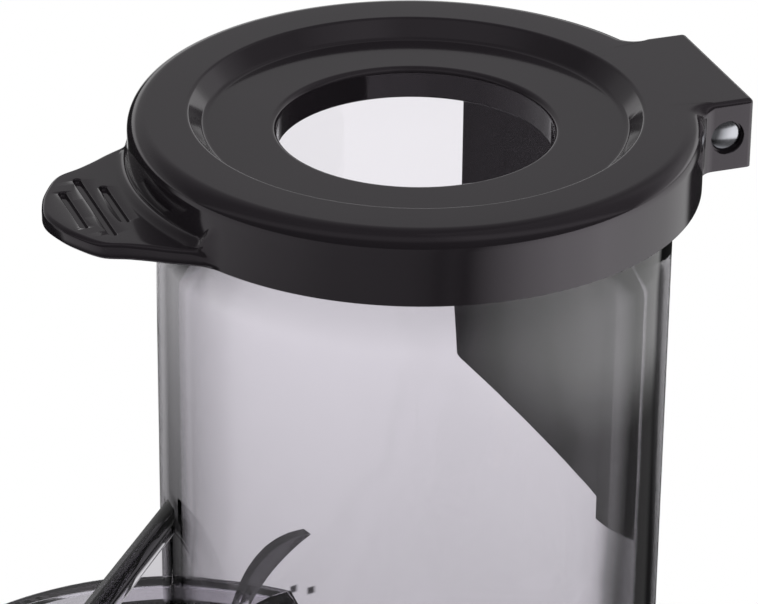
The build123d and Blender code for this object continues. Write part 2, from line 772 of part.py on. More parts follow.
with BuildPart() as cap_pin:
    with BuildSketch(Plane.YZ):
        with Locations((cap_pin_y, cap_pin_z)):
            Circle(cap_pin_r)
    extrude(amount=ear_out, both=True)
finish(cap_pin.part, "cap_pin")

# ================================================================ strainer
frame_in_r = mesh_r + mesh_thickness + press_clearance
window_low_z = strainer_floor_z + frame_floor + frame_ring_height
window_high_z = strainer_top_z - frame_ring_height
window_height = (window_high_z - window_low_z - frame_ring_height) / 2
with BuildPart() as windows:
    for row in range(2):
        low_z = window_low_z + row * (window_height + frame_ring_height)
        with BuildSketch(Plane.YZ.offset(mesh_r - 5)):
            with Locations((0, low_z + window_height / 2)):
                Rectangle(2 * pi * frame_r / frame_ribs - frame_rib_width, window_height)
        extrude(amount=12)

with BuildPart() as strainer_frame:
    with BuildSketch(Plane.XZ):
        with BuildLine():
            Polyline(
                (sun_hole_r, strainer_floor_z), (frame_r, strainer_floor_z),
                (frame_r, strainer_top_z - flange_thickness),
                (bowl_bore_r - rest_gap, strainer_top_z - flange_thickness),
                (bowl_bore_r - rest_gap, strainer_top_z),
                (chamber_r + cover_wall, strainer_top_z), (chamber_r + cover_wall, funnel_top_z),
                (chamber_r, funnel_top_z), (mesh_r, strainer_top_z - frame_ring_height),
                (mesh_r, strainer_top_z - frame_ring_height - 0.5),
                (frame_in_r, strainer_top_z - frame_ring_height - 0.5),
                (frame_in_r, strainer_floor_z + frame_floor),
                (sun_hole_r, strainer_floor_z + frame_floor), close=True,
            )
        make_face()
    revolve(axis=Axis.Z)
    # windows between the ribs, in two rows
    with PolarLocations(0, frame_ribs):
        add(windows.part, mode=Mode.SUBTRACT)
    # pulp outlet and its sleeve, and the legs on the bowl's floor
    sleeve_low_z = duct_high_z + rest_gap
    with BuildSketch(upright(pulp_mid, 0, sleeve_low_z)):
        Rectangle(pulp_span + 2 * chute_wall, 2 * (pulp_hole_half_width + chute_wall))
    extrude(amount=strainer_floor_z - sleeve_low_z + 0.5)
    with BuildSketch(upright(pulp_mid, 0, sleeve_low_z - 1)):
        Rectangle(pulp_span, 2 * pulp_hole_half_width)
    extrude(amount=strainer_floor_z + frame_floor - sleeve_low_z + 2, mode=Mode.SUBTRACT)
    for bearing in leg_bearings:
        spot = (idler_centre_r * cos(radians(bearing)), idler_centre_r * sin(radians(bearing)))
        with BuildSketch(upright(*spot, main_floor_z)):
            Circle(leg_r)
        extrude(amount=strainer_floor_z - main_floor_z + 0.5)
finish(strainer_frame.part, "strainer_frame")

mesh_low_z = strainer_floor_z + frame_floor
mesh_high_z = strainer_top_z - frame_ring_height - 0.5
slot_length = (mesh_high_z - mesh_low_z) / mesh_rows - 4
with BuildPart() as slot_cutter:
    for row in range(mesh_rows):
        slot_z = mesh_low_z + (row + 0.5) * (mesh_high_z - mesh_low_z) / mesh_rows
        with BuildSketch(Plane.YZ.offset(mesh_r - 3)):
            with Locations((0, slot_z)):
                Rectangle(mesh_slot_width, slot_length)
        extrude(amount=6)
with BuildPart() as strainer_mesh:
    with BuildSketch(upright(0, 0, mesh_low_z)):
        Circle(mesh_r + mesh_thickness)
        Circle(mesh_r, mode=Mode.SUBTRACT)
    extrude(amount=mesh_high_z - mesh_low_z)
    with PolarLocations(0, mesh_slots):
        add(slot_cutter.part, mode=Mode.SUBTRACT)
finish(strainer_mesh.part, "strainer_mesh")

# ================================================================ drive of the wiper
sun_phase = 0.0
idler_phase = mesh_phase(sun_phase, sun_teeth, idler_teeth, idler_bearing)
idler_part = (idler_bearing - idler_phase) * idler_teeth / 360
ring_space_phase = idler_bearing - idler_part * 360 / ring_teeth
with BuildPart() as transfer_gear:
    with BuildSketch(upright(*idler_spot, gear_z)):
        add(gear_face(wiper_module, idler_teeth, idler_phase))
        Circle(leg_r + shaft_clearance, mode=Mode.SUBTRACT)
    extrude(amount=drive_face - rest_gap)
finish(transfer_gear.part, "transfer_gear")

post_low_z = gear_z + drive_face
post_high_z = strainer_top_z - flange_thickness - rest_gap - wiper_rim_height
post_mid_r = (wiper_in_r + wiper_ring_r) / 2
with BuildPart() as wiper_frame:
    with BuildSketch(upright(0, 0, gear_z)):
        Circle(wiper_ring_r)
        add(
            gear_face(wiper_module, ring_teeth, ring_space_phase, 1.15, 0.8, -0.2),
            mode=Mode.SUBTRACT,
        )
    extrude(amount=drive_face)
    for index in range(wiper_posts):
        with BuildSketch(upright(0, 0, post_low_z - 0.5, 45 + index * 360 / wiper_posts)):
            with Locations((post_mid_r, 0)):
                Rectangle(wiper_ring_r - wiper_in_r - 0.4, wiper_post_width)
        extrude(amount=post_high_z - post_low_z + 1)
    with BuildSketch(upright(0, 0, post_high_z)):
        Circle(wiper_ring_r)
        Circle(wiper_in_r, mode=Mode.SUBTRACT)
    extrude(amount=wiper_rim_height)
    for index in range(wiper_posts):
        with BuildSketch(upright(0, 0, post_low_z + 2, 45 + index * 360 / wiper_posts)):
            with Locations((post_mid_r, 0)):
                Rectangle(3 * (wiper_ring_r - wiper_in_r), blade_thickness + 2 * press_clearance)
        extrude(amount=post_high_z - post_low_z - 4, mode=Mode.SUBTRACT)
finish(wiper_frame.part, "wiper_frame")

with BuildPart() as wiper_blades:
    blade_out_r = bowl_bore_r - rest_gap
    for index in range(wiper_posts):
        with BuildSketch(upright(0, 0, post_low_z + 2, 45 + index * 360 / wiper_posts)):
            with Locations(((blade_in_r + blade_out_r) / 2, 0)):
                Rectangle(blade_out_r - blade_in_r, blade_thickness)
        extrude(amount=post_high_z - post_low_z - 4)
finish(wiper_blades.part, "wiper_blades")

# ================================================================ auger
foot_z = strainer_floor_z + frame_floor + rest_gap
shaft_top_z = deck_z + shaft_top_rise
socket_low_z = centre_top_z + seal_lip + rest_gap
hub_top_z = platform_low_z - boss_depth - rest_gap
hook_z = funnel_top_z + rest_gap
cavity_r = centre_tube_r + auger_bore_clearance
flight_low_z = foot_z + 1.5 * flight_root_half
flight_top_z = strainer_top_z - 1.5 * flight_root_half
with BuildPart() as flight:
    with BuildLine() as winding:
        Helix(flight_pitch, flight_top_z - flight_low_z, flight_path_r, center=(0, 0, flight_low_z))
    with BuildSketch(Plane(origin=winding.line @ 0, x_dir=(1, 0, 0), z_dir=winding.line % 0)):
        with BuildLine():
            root, tip = flight_root_r - flight_path_r, auger_r - flight_path_r
            Polyline((root, -flight_root_half), (tip, -flight_tip_half),
                     (tip, flight_tip_half), (root, flight_root_half), close=True)
        make_face()
    sweep(is_frenet=True)

with BuildPart() as hook:
    with BuildSketch(upright(0, 0, hook_z)):
        with Locations((hook_r / 2, 0)):
            Circle(hook_r / 2)
        with Locations((hook_r / 2 - 5, 9)):
            Circle(hook_r / 2 - 1, mode=Mode.SUBTRACT)
    extrude(amount=hook_height)
    with BuildSketch(Plane.XZ):
        with BuildLine():
            Polyline((-hook_r, hook_z - 1), (hook_r, hook_z - 1), (hook_r, hook_z + hook_height),
                     (auger_neck_r, hook_z + hook_height), (-hook_r, hook_z + 4), close=True)
        make_face()
    extrude(amount=hook_r, both=True, mode=Mode.INTERSECT)

with BuildPart() as auger:
    with BuildSketch(Plane.XZ):
        with BuildLine():
            Polyline((0, foot_z), (auger_foot_r, foot_z), (auger_neck_r, strainer_top_z),
                     (auger_neck_r, hub_top_z - 6), (top_pin_r + 4, hub_top_z), (0, hub_top_z), close=True)
        make_face()
    revolve(axis=Axis.Z)
    add(flight.part, rotation=(0, 0, flight_turn))
    add(hook.part)
    with BuildSketch(upright(0, 0, gear_z + drive_face)):
        Circle(sun_hole_r - 1)
    extrude(amount=foot_z - gear_z - drive_face + 0.5)
    with BuildSketch(upright(0, 0, gear_z)):
        add(gear_face(wiper_module, sun_teeth, sun_phase))
    extrude(amount=drive_face)
    with BuildSketch(upright(0, 0, gear_z)):
        Circle(cavity_r)
    extrude(amount=socket_low_z - gear_z, mode=Mode.SUBTRACT)
    with BuildSketch(upright(0, 0, socket_low_z - 1)):
        RegularPolygon(shaft_flats / 2 + socket_clearance, 6, major_radius=False)
    extrude(amount=shaft_top_z + 2 - socket_low_z, mode=Mode.SUBTRACT)
    with BuildSketch(upright(0, 0, hub_top_z - 1)):
        Circle(top_pin_r)
    extrude(amount=boss_depth)
finish(auger.part, "auger")


# ================================================================ base housing
def base_outline(z, inset):
    """The housing's section at a height, a rounded rectangle that shrinks as it rises."""
    flare = base_flare * (deck_z - z) / (deck_z - housing_bottom_z) - inset
    with BuildSketch(upright(0, base_shift, z), mode=Mode.PRIVATE) as outline:
        RectangleRounded(base_top_x + 2 * flare, base_top_y + 2 * flare, base_top_r + flare)
    return outline.sketch


base_lean = degrees(atan2(base_flare, deck_z - housing_bottom_z))
base_low_r = base_top_r + base_flare
post_reach = base_low_r - base_wall - post_r + post_sink
foot_reach = post_reach - foot_inset
corner_y = base_top_y / 2 - base_top_r


def corner_spots(reach):
    """The four places at a distance from the middles of the housing's rounded corners."""
    step = reach * cos(radians(45))
    return [(x, base_shift + y) for x in (-deck_flat - step, deck_flat + step)
            for y in (-corner_y - step, corner_y + step)]


post_spots = corner_spots(post_reach)
foot_spots = corner_spots(foot_reach)
plate_low_z = foot_height
plate_top_z = plate_low_z + plate_thickness
post_low_z = plate_top_z
collar_in_r = bowl_r + rest_gap
rear_low_y = base_shift + base_top_y / 2 + base_flare
gland_plane = Plane(
    origin=(0, rear_low_y - (gland_z - housing_bottom_z) * tan(radians(base_lean)), gland_z),
    x_dir=(1, 0, 0), z_dir=(0, cos(radians(base_lean)), sin(radians(base_lean))),
)

with BuildPart() as housing_inside:
    with BuildSketch(upright(0, 0, housing_bottom_z)):
        add(base_outline(housing_bottom_z, base_wall))
    extrude(amount=deck_low_z - housing_bottom_z, taper=base_lean)

with BuildPart() as posts:
    for spot in post_spots:
        with BuildSketch(upright(*spot, post_low_z)):
            Circle(post_r)
        extrude(amount=post_height)
    add(housing_inside.part, mode=Mode.INTERSECT)

with BuildPart() as base_housing:
    with BuildSketch(upright(0, 0, housing_bottom_z)):
        add(base_outline(housing_bottom_z, 0))
    extrude(amount=deck_z - housing_bottom_z, taper=base_lean)
    fillet(base_housing.faces().sort_by(Axis.Z)[-1].edges(), deck_fillet)
    add(housing_inside.part, mode=Mode.SUBTRACT)
    # collar round the bowl's foot, open where the pulp duct crosses it
    with BuildSketch(upright(0, 0, deck_z - 1)):
        Circle(collar_in_r + collar_width)
        Circle(collar_in_r, mode=Mode.SUBTRACT)
    extrude(amount=collar_rise + 1)
    with BuildSketch(upright(-collar_in_r, 0, deck_z)):
        Rectangle(4 * collar_width, 2 * (duct_half_width + rest_gap))
    extrude(amount=2 * collar_rise, mode=Mode.SUBTRACT)
    with BuildSketch(upright(0, 0, deck_low_z - 1)):
        Circle(deck_hole_r)
    extrude(amount=2 * deck_thickness, mode=Mode.SUBTRACT)
    # screw posts and their holes
    add(posts.part)
    for spot in post_spots:
        with BuildSketch(upright(*spot, post_low_z - 1)):
            Circle(screw_r + shaft_clearance)
        extrude(amount=post_height / 2, mode=Mode.SUBTRACT)
    # pad and bore of the selector knob
    with BuildSketch(Plane.YZ.offset(knob_face_x - knob_pad_depth)):
        with Locations((knob_y, knob_z)):
            Circle(knob_pad_r)
    extrude(amount=knob_pad_depth)
    fillet(base_housing.edges().filter_by(GeomType.CIRCLE).sort_by(Axis.X)[-1], small_fillet)
    with BuildSketch(Plane.YZ.offset(knob_face_x - 2 * knob_pad_depth)):
        with Locations((knob_y, knob_z)):
            Circle(knob_stem_r + rest_gap)
    extrude(amount=3 * knob_pad_depth, mode=Mode.SUBTRACT)
    # cooling slots and the hole of the cord gland in the rear wall
    with BuildSketch(Plane.XZ.offset(-base_shift - base_top_y / 2 + 4 * base_wall)):
        with Locations((0, vent_z)):
            with GridLocations(vent_pitch, 1, vent_count, 1):
                SlotOverall(vent_height, vent_width, rotation=90)
    extrude(amount=-base_top_y / 2, mode=Mode.SUBTRACT)
    with BuildSketch(gland_plane.offset(-2 * base_wall)):
        Circle(gland_r)
    extrude(amount=4 * base_wall, mode=Mode.SUBTRACT)
finish(base_housing.part, "base_housing")

# ---------------------------------------------------------------- underside of the base
with BuildPart() as bottom_plate:
    with BuildSketch(upright(0, 0, plate_low_z)):
        add(base_outline(housing_bottom_z, base_wall + 2 * rest_gap))
    extrude(amount=plate_thickness)
    for spot in post_spots:
        with BuildSketch(upright(*spot, plate_low_z - 1)):
            Circle(screw_r + rest_gap)
        extrude(amount=plate_thickness + 2, mode=Mode.SUBTRACT)
    for spot in foot_spots:
        with BuildSketch(upright(*spot, plate_low_z - 1)):
            Circle(foot_r / 2)
        extrude(amount=plate_thickness + 2, mode=Mode.SUBTRACT)
    with BuildSketch(upright(0, 0, plate_low_z - 1)):
        with GridLocations(2 * vent_pitch, 1, 5, 1):
            SlotOverall(2 * vent_height, vent_width, rotation=90)
    extrude(amount=plate_thickness + 2, mode=Mode.SUBTRACT)
    # two slotted ribs that hold the control board
    for side in (-1, 1):
        with BuildSketch(upright(side * board_width / 2, board_y, plate_top_z - 0.5)):
            Rectangle(6, 6)
        extrude(amount=10)
    with BuildSketch(upright(0, board_y, plate_top_z + board_lift)):
        Rectangle(board_width + 2 * rest_gap, board_thickness + 2 * press_clearance)
    extrude(amount=20, mode=Mode.SUBTRACT)
finish(bottom_plate.part, "bottom_plate")

with BuildPart() as rubber_feet:
    for spot in foot_spots:
        with BuildSketch(upright(*spot, 0)):
            Circle(foot_r)
        extrude(amount=foot_height)
        with BuildSketch(upright(*spot, foot_height)):
            Circle(foot_r / 2 - press_clearance)
        extrude(amount=plate_thickness)
    chamfer(rubber_feet.edges().filter_by(GeomType.CIRCLE).group_by(Axis.Z)[0], small_fillet)
finish(rubber_feet.part, "rubber_feet")

with BuildPart() as base_screws:
    for spot in post_spots:
        with BuildSketch(upright(*spot, plate_low_z)):
            Circle(screw_head_r)
        extrude(amount=-screw_head_height)
        with BuildSketch(upright(*spot, plate_low_z)):
            Circle(screw_r)
        extrude(amount=post_height / 2)
finish(base_screws.part, "base_screws")

# ---------------------------------------------------------------- cord gland, without the cord
with BuildPart() as cord_gland:
    inner_low = -base_wall - rest_gap - gland_flange
    with BuildSketch(gland_plane.offset(inner_low)):
        Circle(gland_flange_r)
    extrude(amount=gland_flange)
    with BuildSketch(gland_plane.offset(inner_low)):
        Circle(gland_r - press_clearance)
    extrude(amount=rest_gap - inner_low)
    with BuildSketch(gland_plane.offset(rest_gap)):
        Circle(gland_flange_r)
    extrude(amount=gland_flange)
    chamfer(cord_gland.edges().filter_by(GeomType.CIRCLE).sort_by(Axis.Y)[-1], small_fillet)
    with BuildSketch(gland_plane.offset(inner_low - 1)):
        Circle(gland_bore_r)
    extrude(amount=4 * (base_wall + gland_flange), mode=Mode.SUBTRACT)
finish(cord_gland.part, "cord_gland")

# ---------------------------------------------------------------- selector knob and switch
knob_low_x = knob_face_x + rest_gap
switch_x = knob_face_x - knob_pad_depth - rest_gap
with BuildPart() as selector_knob:
    with BuildSketch(Plane(origin=(knob_low_x, knob_y, knob_z), x_dir=(0, 1, 0), z_dir=(0, 0, 1))):
        with BuildLine():
            Polyline(
                (0, 0), (knob_r, 0), (knob_taper_r, -knob_depth + knob_bar_height),
                (0, -knob_depth + knob_bar_height), close=True,
            )
        make_face()
    revolve(axis=Axis((knob_low_x, knob_y, knob_z), (1, 0, 0)))
    with BuildSketch(Plane(origin=(knob_low_x + knob_depth - knob_bar_height - 0.5, knob_y, knob_z),
                           x_dir=(0, 1, 0), z_dir=(1, 0, 0))):
        RectangleRounded(knob_bar_width, 2 * knob_taper_r - 1, knob_bar_width / 2 - 0.2)
    extrude(amount=knob_bar_height + 0.5)
    fillet(selector_knob.faces().sort_by(Axis.X)[-1].edges(), small_fillet)
    with BuildSketch(Plane(origin=(switch_x - knob_grip_depth, knob_y, knob_z), x_dir=(0, 1, 0), z_dir=(1, 0, 0))):
        Circle(knob_stem_r)
    extrude(amount=knob_low_x - switch_x + knob_grip_depth + 1)
finish(selector_knob.part, "selector_knob")

with BuildPart() as rotary_switch:
    with BuildSketch(Plane(origin=(switch_x, knob_y, knob_z), x_dir=(0, 1, 0), z_dir=(1, 0, 0))):
        RectangleRounded(switch_size, switch_size, 2)
    extrude(amount=-switch_depth)
    with BuildSketch(Plane(origin=(switch_x, knob_y, knob_z), x_dir=(0, 1, 0), z_dir=(1, 0, 0))):
        Circle(knob_stem_r + shaft_clearance)
    extrude(amount=-knob_grip_depth - rest_gap, mode=Mode.SUBTRACT)
    for turn in (-1, 0, 1):
        with BuildSketch(Plane(origin=(switch_x - switch_depth, knob_y + 6 * turn, knob_z), z_dir=(-1, 0, 0))):
            Rectangle(4, 0.8)
        extrude(amount=5)
    with BuildSketch(Plane(origin=(switch_x, knob_y, knob_z), x_dir=(0, 1, 0), z_dir=(1, 0, 0))):
        Circle(knob_stem_r + 3)
        Circle(knob_stem_r + shaft_clearance, mode=Mode.SUBTRACT)
    extrude(amount=rest_gap)
finish(rotary_switch.part, "rotary_switch")

# ================================================================ gear train
centre_distances = [
    module * (pinion + wheel) / 2
    for module, pinion, wheel in zip(stage_modules, pinion_teeth, wheel_teeth)
]
first_c, second_c, third_c = centre_distances
half_split = degrees(acos((first_c**2 + third_c**2 - second_c**2) / (2 * first_c * third_c))) / 2
first_bearing = train_bearing + half_split
second_bearing = train_bearing - half_split
first_spot = (first_c * cos(radians(first_bearing)), first_c * sin(radians(first_bearing)))
second_spot = (third_c * cos(radians(second_bearing)), third_c * sin(radians(second_bearing)))
between = degrees(atan2(second_spot[1] - first_spot[1], second_spot[0] - first_spot[0]))
level_1 = case_z + case_wall + stage_gap
level_2 = level_1 + stage_faces[0] + stage_gap
level_3 = level_2 + stage_faces[1] + stage_gap
case_top_z = level_3 + stage_faces[2] + stage_gap

rotor_phase = 0.0
first_wheel_phase = mesh_phase(rotor_phase, pinion_teeth[0], wheel_teeth[0], first_bearing)
first_pinion_phase = 0.0
second_wheel_phase = mesh_phase(first_pinion_phase, pinion_teeth[1], wheel_teeth[1], between)
second_pinion_phase = 0.0
output_phase = mesh_phase(second_pinion_phase, pinion_teeth[2], wheel_teeth[2], second_bearing + 180)


def idle_gear(name, spot, wheel, pinion):
    """A wheel and the pinion on top of it in one piece; each is module, teeth, phase, z, face."""
    with BuildPart() as gear:
        for module, teeth, phase, z, face in (wheel, pinion):
            with BuildSketch(upright(*spot, z)):
                add(gear_face(module, teeth, phase))
            extrude(amount=face)
        wheel_top = wheel[3] + wheel[4]
        pinion_root = pinion[0] * (pinion[1] / 2 - 1.2)
        with BuildSketch(upright(*spot, wheel_top - 0.5)):
            Circle(pinion_root)
        extrude(amount=pinion[3] - wheel_top + 1)
        wheel_root = wheel[0] * (wheel[1] / 2 - 1.2)
        web_in, web_out = pinion[0] * (pinion[1] / 2 + 1) + 1.5, wheel_root - 2.5
        with BuildSketch(upright(*spot, wheel_top - wheel[4] / 3)):
            Circle(web_out)
            Circle(web_in, mode=Mode.SUBTRACT)
        extrude(amount=wheel[4] / 3, mode=Mode.SUBTRACT)
        with BuildSketch(upright(*spot, wheel[3] - 1)):
            Circle(axle_r + shaft_clearance)
        extrude(amount=wheel[4] + pinion[4] + 3 * stage_gap, mode=Mode.SUBTRACT)
    finish(gear.part, name)


idle_gear(
    "first_gear", first_spot,
    (stage_modules[0], wheel_teeth[0], first_wheel_phase, level_1, stage_faces[0]),
    (stage_modules[1], pinion_teeth[1], first_pinion_phase, level_2, stage_faces[1]),
)
idle_gear(
    "second_gear", second_spot,
    (stage_modules[1], wheel_teeth[1], second_wheel_phase, level_2, stage_faces[1]),
    (stage_modules[2], pinion_teeth[2], second_pinion_phase, level_3, stage_faces[2]),
)

bearing_low_z = case_top_z + case_wall - 1
bearing_top_z = bearing_low_z + output_bearing_height
with BuildPart() as output_gear:
    with BuildSketch(upright(0, 0, level_3)):
        add(gear_face(stage_modules[2], wheel_teeth[2], output_phase))
    extrude(amount=stage_faces[2])
    output_root = stage_modules[2] * (wheel_teeth[2] / 2 - 1.2)
    for z, span in ((level_3 + 5, stage_faces[2]), (level_3 - 1, 4)):
        with BuildSketch(upright(0, 0, z)):
            Circle(output_root - 3)
            Circle(output_shaft_r + 4, mode=Mode.SUBTRACT)
        extrude(amount=span, mode=Mode.SUBTRACT)
    with BuildSketch(upright(0, 0, level_3 - 1)):
        Circle(output_shaft_r + press_clearance)
    extrude(amount=stage_faces[2] + 2, mode=Mode.SUBTRACT)
finish(output_gear.part, "output_gear")

with BuildPart() as drive_shaft:
    with BuildSketch(upright(0, 0, level_3)):
        Circle(output_shaft_r)
    extrude(amount=deck_z - level_3)
    with BuildSketch(upright(0, 0, deck_z)):
        RegularPolygon(shaft_flats / 2, 6, major_radius=False)
    extrude(amount=shaft_top_z - deck_z)
    chamfer(drive_shaft.faces().sort_by(Axis.Z)[-1].edges(), small_fillet)
finish(drive_shaft.part, "drive_shaft")

with BuildPart() as output_bearing:
    with BuildSketch(upright(0, 0, bearing_low_z)):
        Circle(output_bearing_r)
        Circle(output_shaft_r + shaft_clearance, mode=Mode.SUBTRACT)
    extrude(amount=output_bearing_height)
finish(output_bearing.part, "output_bearing")

with BuildPart() as deck_seal:
    with BuildSketch(upright(0, 0, deck_low_z)):
        Circle(deck_hole_r - press_clearance)
        Circle(output_shaft_r + rest_gap, mode=Mode.SUBTRACT)
    extrude(amount=deck_thickness)
finish(deck_seal.part, "deck_seal")

motor_top_z = case_z - stator_top_drop
stator_low_z = motor_top_z - stator_height
bell_low_z = stator_low_z - bracket_depth
with BuildPart() as gearbox_case:
    with BuildSketch(upright(0, 0, case_z)):
        Circle(case_r)
    extrude(amount=case_top_z - case_z)
    with BuildSketch(upright(0, 0, case_z + case_wall)):
        Circle(case_r - case_wall)
    extrude(amount=case_top_z - case_z, mode=Mode.SUBTRACT)
    # skirt that carries the motor
    with BuildSketch(upright(0, 0, motor_top_z)):
        Circle(stator_r)
        Circle(stator_r - bell_wall, mode=Mode.SUBTRACT)
    extrude(amount=stator_top_drop + 1)
    with BuildSketch(upright(0, 0, motor_top_z + 4)):
        with PolarLocations(stator_r, 6):
            Rectangle(4 * bell_wall, 16)
    extrude(amount=stator_top_drop - 8, mode=Mode.SUBTRACT)
    # seat of the upper motor bearing
    with BuildSketch(upright(0, 0, case_z - motor_bearing_height)):
        Circle(motor_bearing_r + bell_wall)
    extrude(amount=motor_bearing_height + 1)
    with BuildSketch(upright(0, 0, case_z - motor_bearing_height - 1)):
        Circle(motor_bearing_r)
    extrude(amount=motor_bearing_height + 1, mode=Mode.SUBTRACT)
    with BuildSketch(upright(0, 0, case_z - 1)):
        Circle(rotor_shaft_r + rest_gap)
    extrude(amount=case_wall + 2, mode=Mode.SUBTRACT)
finish(gearbox_case.part, "gearbox_case")

with BuildPart() as gearbox_cover:
    with BuildSketch(upright(0, 0, case_top_z)):
        Circle(case_r)
    extrude(amount=case_wall)
    with BuildSketch(upright(0, 0, case_top_z + case_wall)):
        Circle(output_bearing_r + case_wall)
    extrude(amount=output_bearing_height - 1)
    with BuildSketch(upright(0, 0, bearing_low_z)):
        Circle(output_bearing_r + press_clearance)
    extrude(amount=output_bearing_height + 1, mode=Mode.SUBTRACT)
    with BuildSketch(upright(0, 0, case_top_z - 1)):
        Circle(output_shaft_r + rest_gap)
    extrude(amount=case_wall + 2, mode=Mode.SUBTRACT)
    # pillars that hang the drive from the deck
    with BuildSketch(upright(0, 0, case_top_z + case_wall - 0.5)):
        with PolarLocations(case_r - 8, 3, start_angle=30):
            Circle(5)
    extrude(amount=deck_low_z - case_top_z - case_wall + 0.5)
finish(gearbox_cover.part, "gearbox_cover")

with BuildPart() as gear_axles:
    for spot, top in ((first_spot, level_3 - stage_gap / 2), (second_spot, case_top_z)):
        with BuildSketch(upright(*spot, case_z + case_wall)):
            Circle(axle_r)
        extrude(amount=top - case_z - case_wall)
finish(gear_axles.part, "gear_axles")

# ================================================================ motor
rotor_r = stator_bore_r - rotor_gap
fan_z = motor_top_z + 5
with BuildPart() as motor_stator:
    with BuildSketch(upright(0, 0, stator_low_z)):
        Circle(stator_r)
        Circle(stator_bore_r, mode=Mode.SUBTRACT)
        with PolarLocations((stator_r + stator_bore_r) / 2 - 1, 12):
            RectangleRounded(8, 5, 1.5, mode=Mode.SUBTRACT)
    extrude(amount=stator_height)
finish(motor_stator.part, "motor_stator")

with BuildPart() as field_coils:
    for z, rise in ((stator_low_z, -7), (motor_top_z, 3.5)):
        with BuildSketch(upright(0, 0, z)):
            Circle(stator_r - 4)
            Circle(stator_bore_r + 2, mode=Mode.SUBTRACT)
        extrude(amount=rise)
finish(field_coils.part, "field_coils")

with BuildPart() as motor_rotor:
    with BuildSketch(upright(0, 0, stator_low_z)):
        Circle(rotor_r)
        with PolarLocations(rotor_r, 12):
            Rectangle(5, 1.6, mode=Mode.SUBTRACT)
    extrude(amount=stator_height)
    commutator_low_z = bell_low_z + bell_wall + motor_bearing_height + rest_gap
    with BuildSketch(upright(0, 0, commutator_low_z)):
        Circle(commutator_r)
    extrude(amount=stator_low_z - commutator_low_z)
    with BuildSketch(upright(0, 0, bell_low_z + bell_wall)):
        Circle(rotor_shaft_r)
    extrude(amount=level_1 - bell_low_z - bell_wall)
    with BuildSketch(upright(0, 0, level_1)):
        add(gear_face(stage_modules[0], pinion_teeth[0], rotor_phase))
    extrude(amount=stage_faces[0])
finish(motor_rotor.part, "motor_rotor")

with BuildPart() as motor_fan:
    with BuildSketch(upright(0, 0, fan_z)):
        Circle(rotor_shaft_r + 4)
        Circle(rotor_shaft_r + press_clearance, mode=Mode.SUBTRACT)
    extrude(amount=fan_height)
    with BuildSketch(upright(0, 0, fan_z)):
        Circle(fan_r)
        Circle(rotor_shaft_r + 3, mode=Mode.SUBTRACT)
    extrude(amount=1.5)
    with BuildSketch(upright(0, 0, fan_z + 1)):
        with PolarLocations((fan_r + rotor_shaft_r + 3) / 2, fan_blades):
            Rectangle(fan_r - rotor_shaft_r - 4, 1.5)
    extrude(amount=fan_height - 1)
finish(motor_fan.part, "motor_fan")

with BuildPart() as motor_end_bell:
    with BuildSketch(upright(0, 0, bell_low_z)):
        Circle(stator_r)
    extrude(amount=bracket_depth)
    with BuildSketch(upright(0, 0, bell_low_z + bell_wall)):
        Circle(stator_r - bell_wall)
    extrude(amount=bracket_depth, mode=Mode.SUBTRACT)
    with BuildSketch(upright(0, 0, bell_low_z)):
        Circle(motor_bearing_r + bell_wall)
    extrude(amount=motor_bearing_height + bell_wall)
    with BuildSketch(upright(0, 0, bell_low_z + bell_wall)):
        Circle(motor_bearing_r)
    extrude(amount=2 * motor_bearing_height, mode=Mode.SUBTRACT)
    with BuildSketch(upright(0, 0, bell_low_z - 1)):
        with PolarLocations((stator_r + motor_bearing_r) / 2 + 2, 8):
            SlotOverall(14, 5)
    extrude(amount=bell_wall + 2, mode=Mode.SUBTRACT)
finish(motor_end_bell.part, "motor_end_bell")

with BuildPart() as motor_bearings:
    for z in (bell_low_z + bell_wall, case_z - motor_bearing_height):
        with BuildSketch(upright(0, 0, z)):
            Circle(motor_bearing_r - press_clearance)
            Circle(rotor_shaft_r + shaft_clearance, mode=Mode.SUBTRACT)
        extrude(amount=motor_bearing_height - 1)
finish(motor_bearings.part, "motor_bearings")

with BuildPart() as carbon_brushes:
    brush_z = stator_low_z - 10
    for side in (-1, 1):
        with BuildSketch(Plane(origin=(side * (commutator_r + rest_gap), 0, brush_z), x_dir=(0, 1, 0),
                               z_dir=(side, 0, 0))):
            Rectangle(6, 5)
        extrude(amount=stator_r - bell_wall - commutator_r - 2 * rest_gap)
finish(carbon_brushes.part, "carbon_brushes")

with BuildPart() as control_board:
    with BuildSketch(upright(0, board_y, plate_top_z + board_lift)):
        Rectangle(board_width, board_thickness)
    extrude(amount=board_height)
    board_face = Plane(origin=(0, board_y - board_thickness / 2, plate_top_z + board_lift + board_height / 2),
                       x_dir=(1, 0, 0), z_dir=(0, -1, 0))
    for x, y, width, height, depth in ((-18, 4, 14, 18, 12), (6, 8, 12, 10, 8)):
        with BuildSketch(board_face):
            with Locations((x, y)):
                Rectangle(width, height)
        extrude(amount=depth)
    for x in (2, 16):
        with BuildSketch(board_face):
            with Locations((x, -8)):
                Circle(5)
        extrude(amount=14)
finish(control_board.part, "control_board")
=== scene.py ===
# %% [markdown]
# # A cold press juicer, dressed for the camera
# The packed CAD model is the skeleton of this scene. It holds every piece of the juicer
# in its true place, in metres: the motor base, the juicing bowl, the clear cover with its
# feed tube, and the black ring lid on top. Most CAD pieces stay and only get a finish.
# The few pieces that the camera looks at from close by are modelled again here, with
# softer edges and cleaner surfaces, in exactly the place of the CAD piece they stand for.

# %% Open the CAD frame
import json
from math import atan2, cos, degrees, pi, radians, sin, sqrt, tan

import bpy
from mathutils import Matrix, Vector


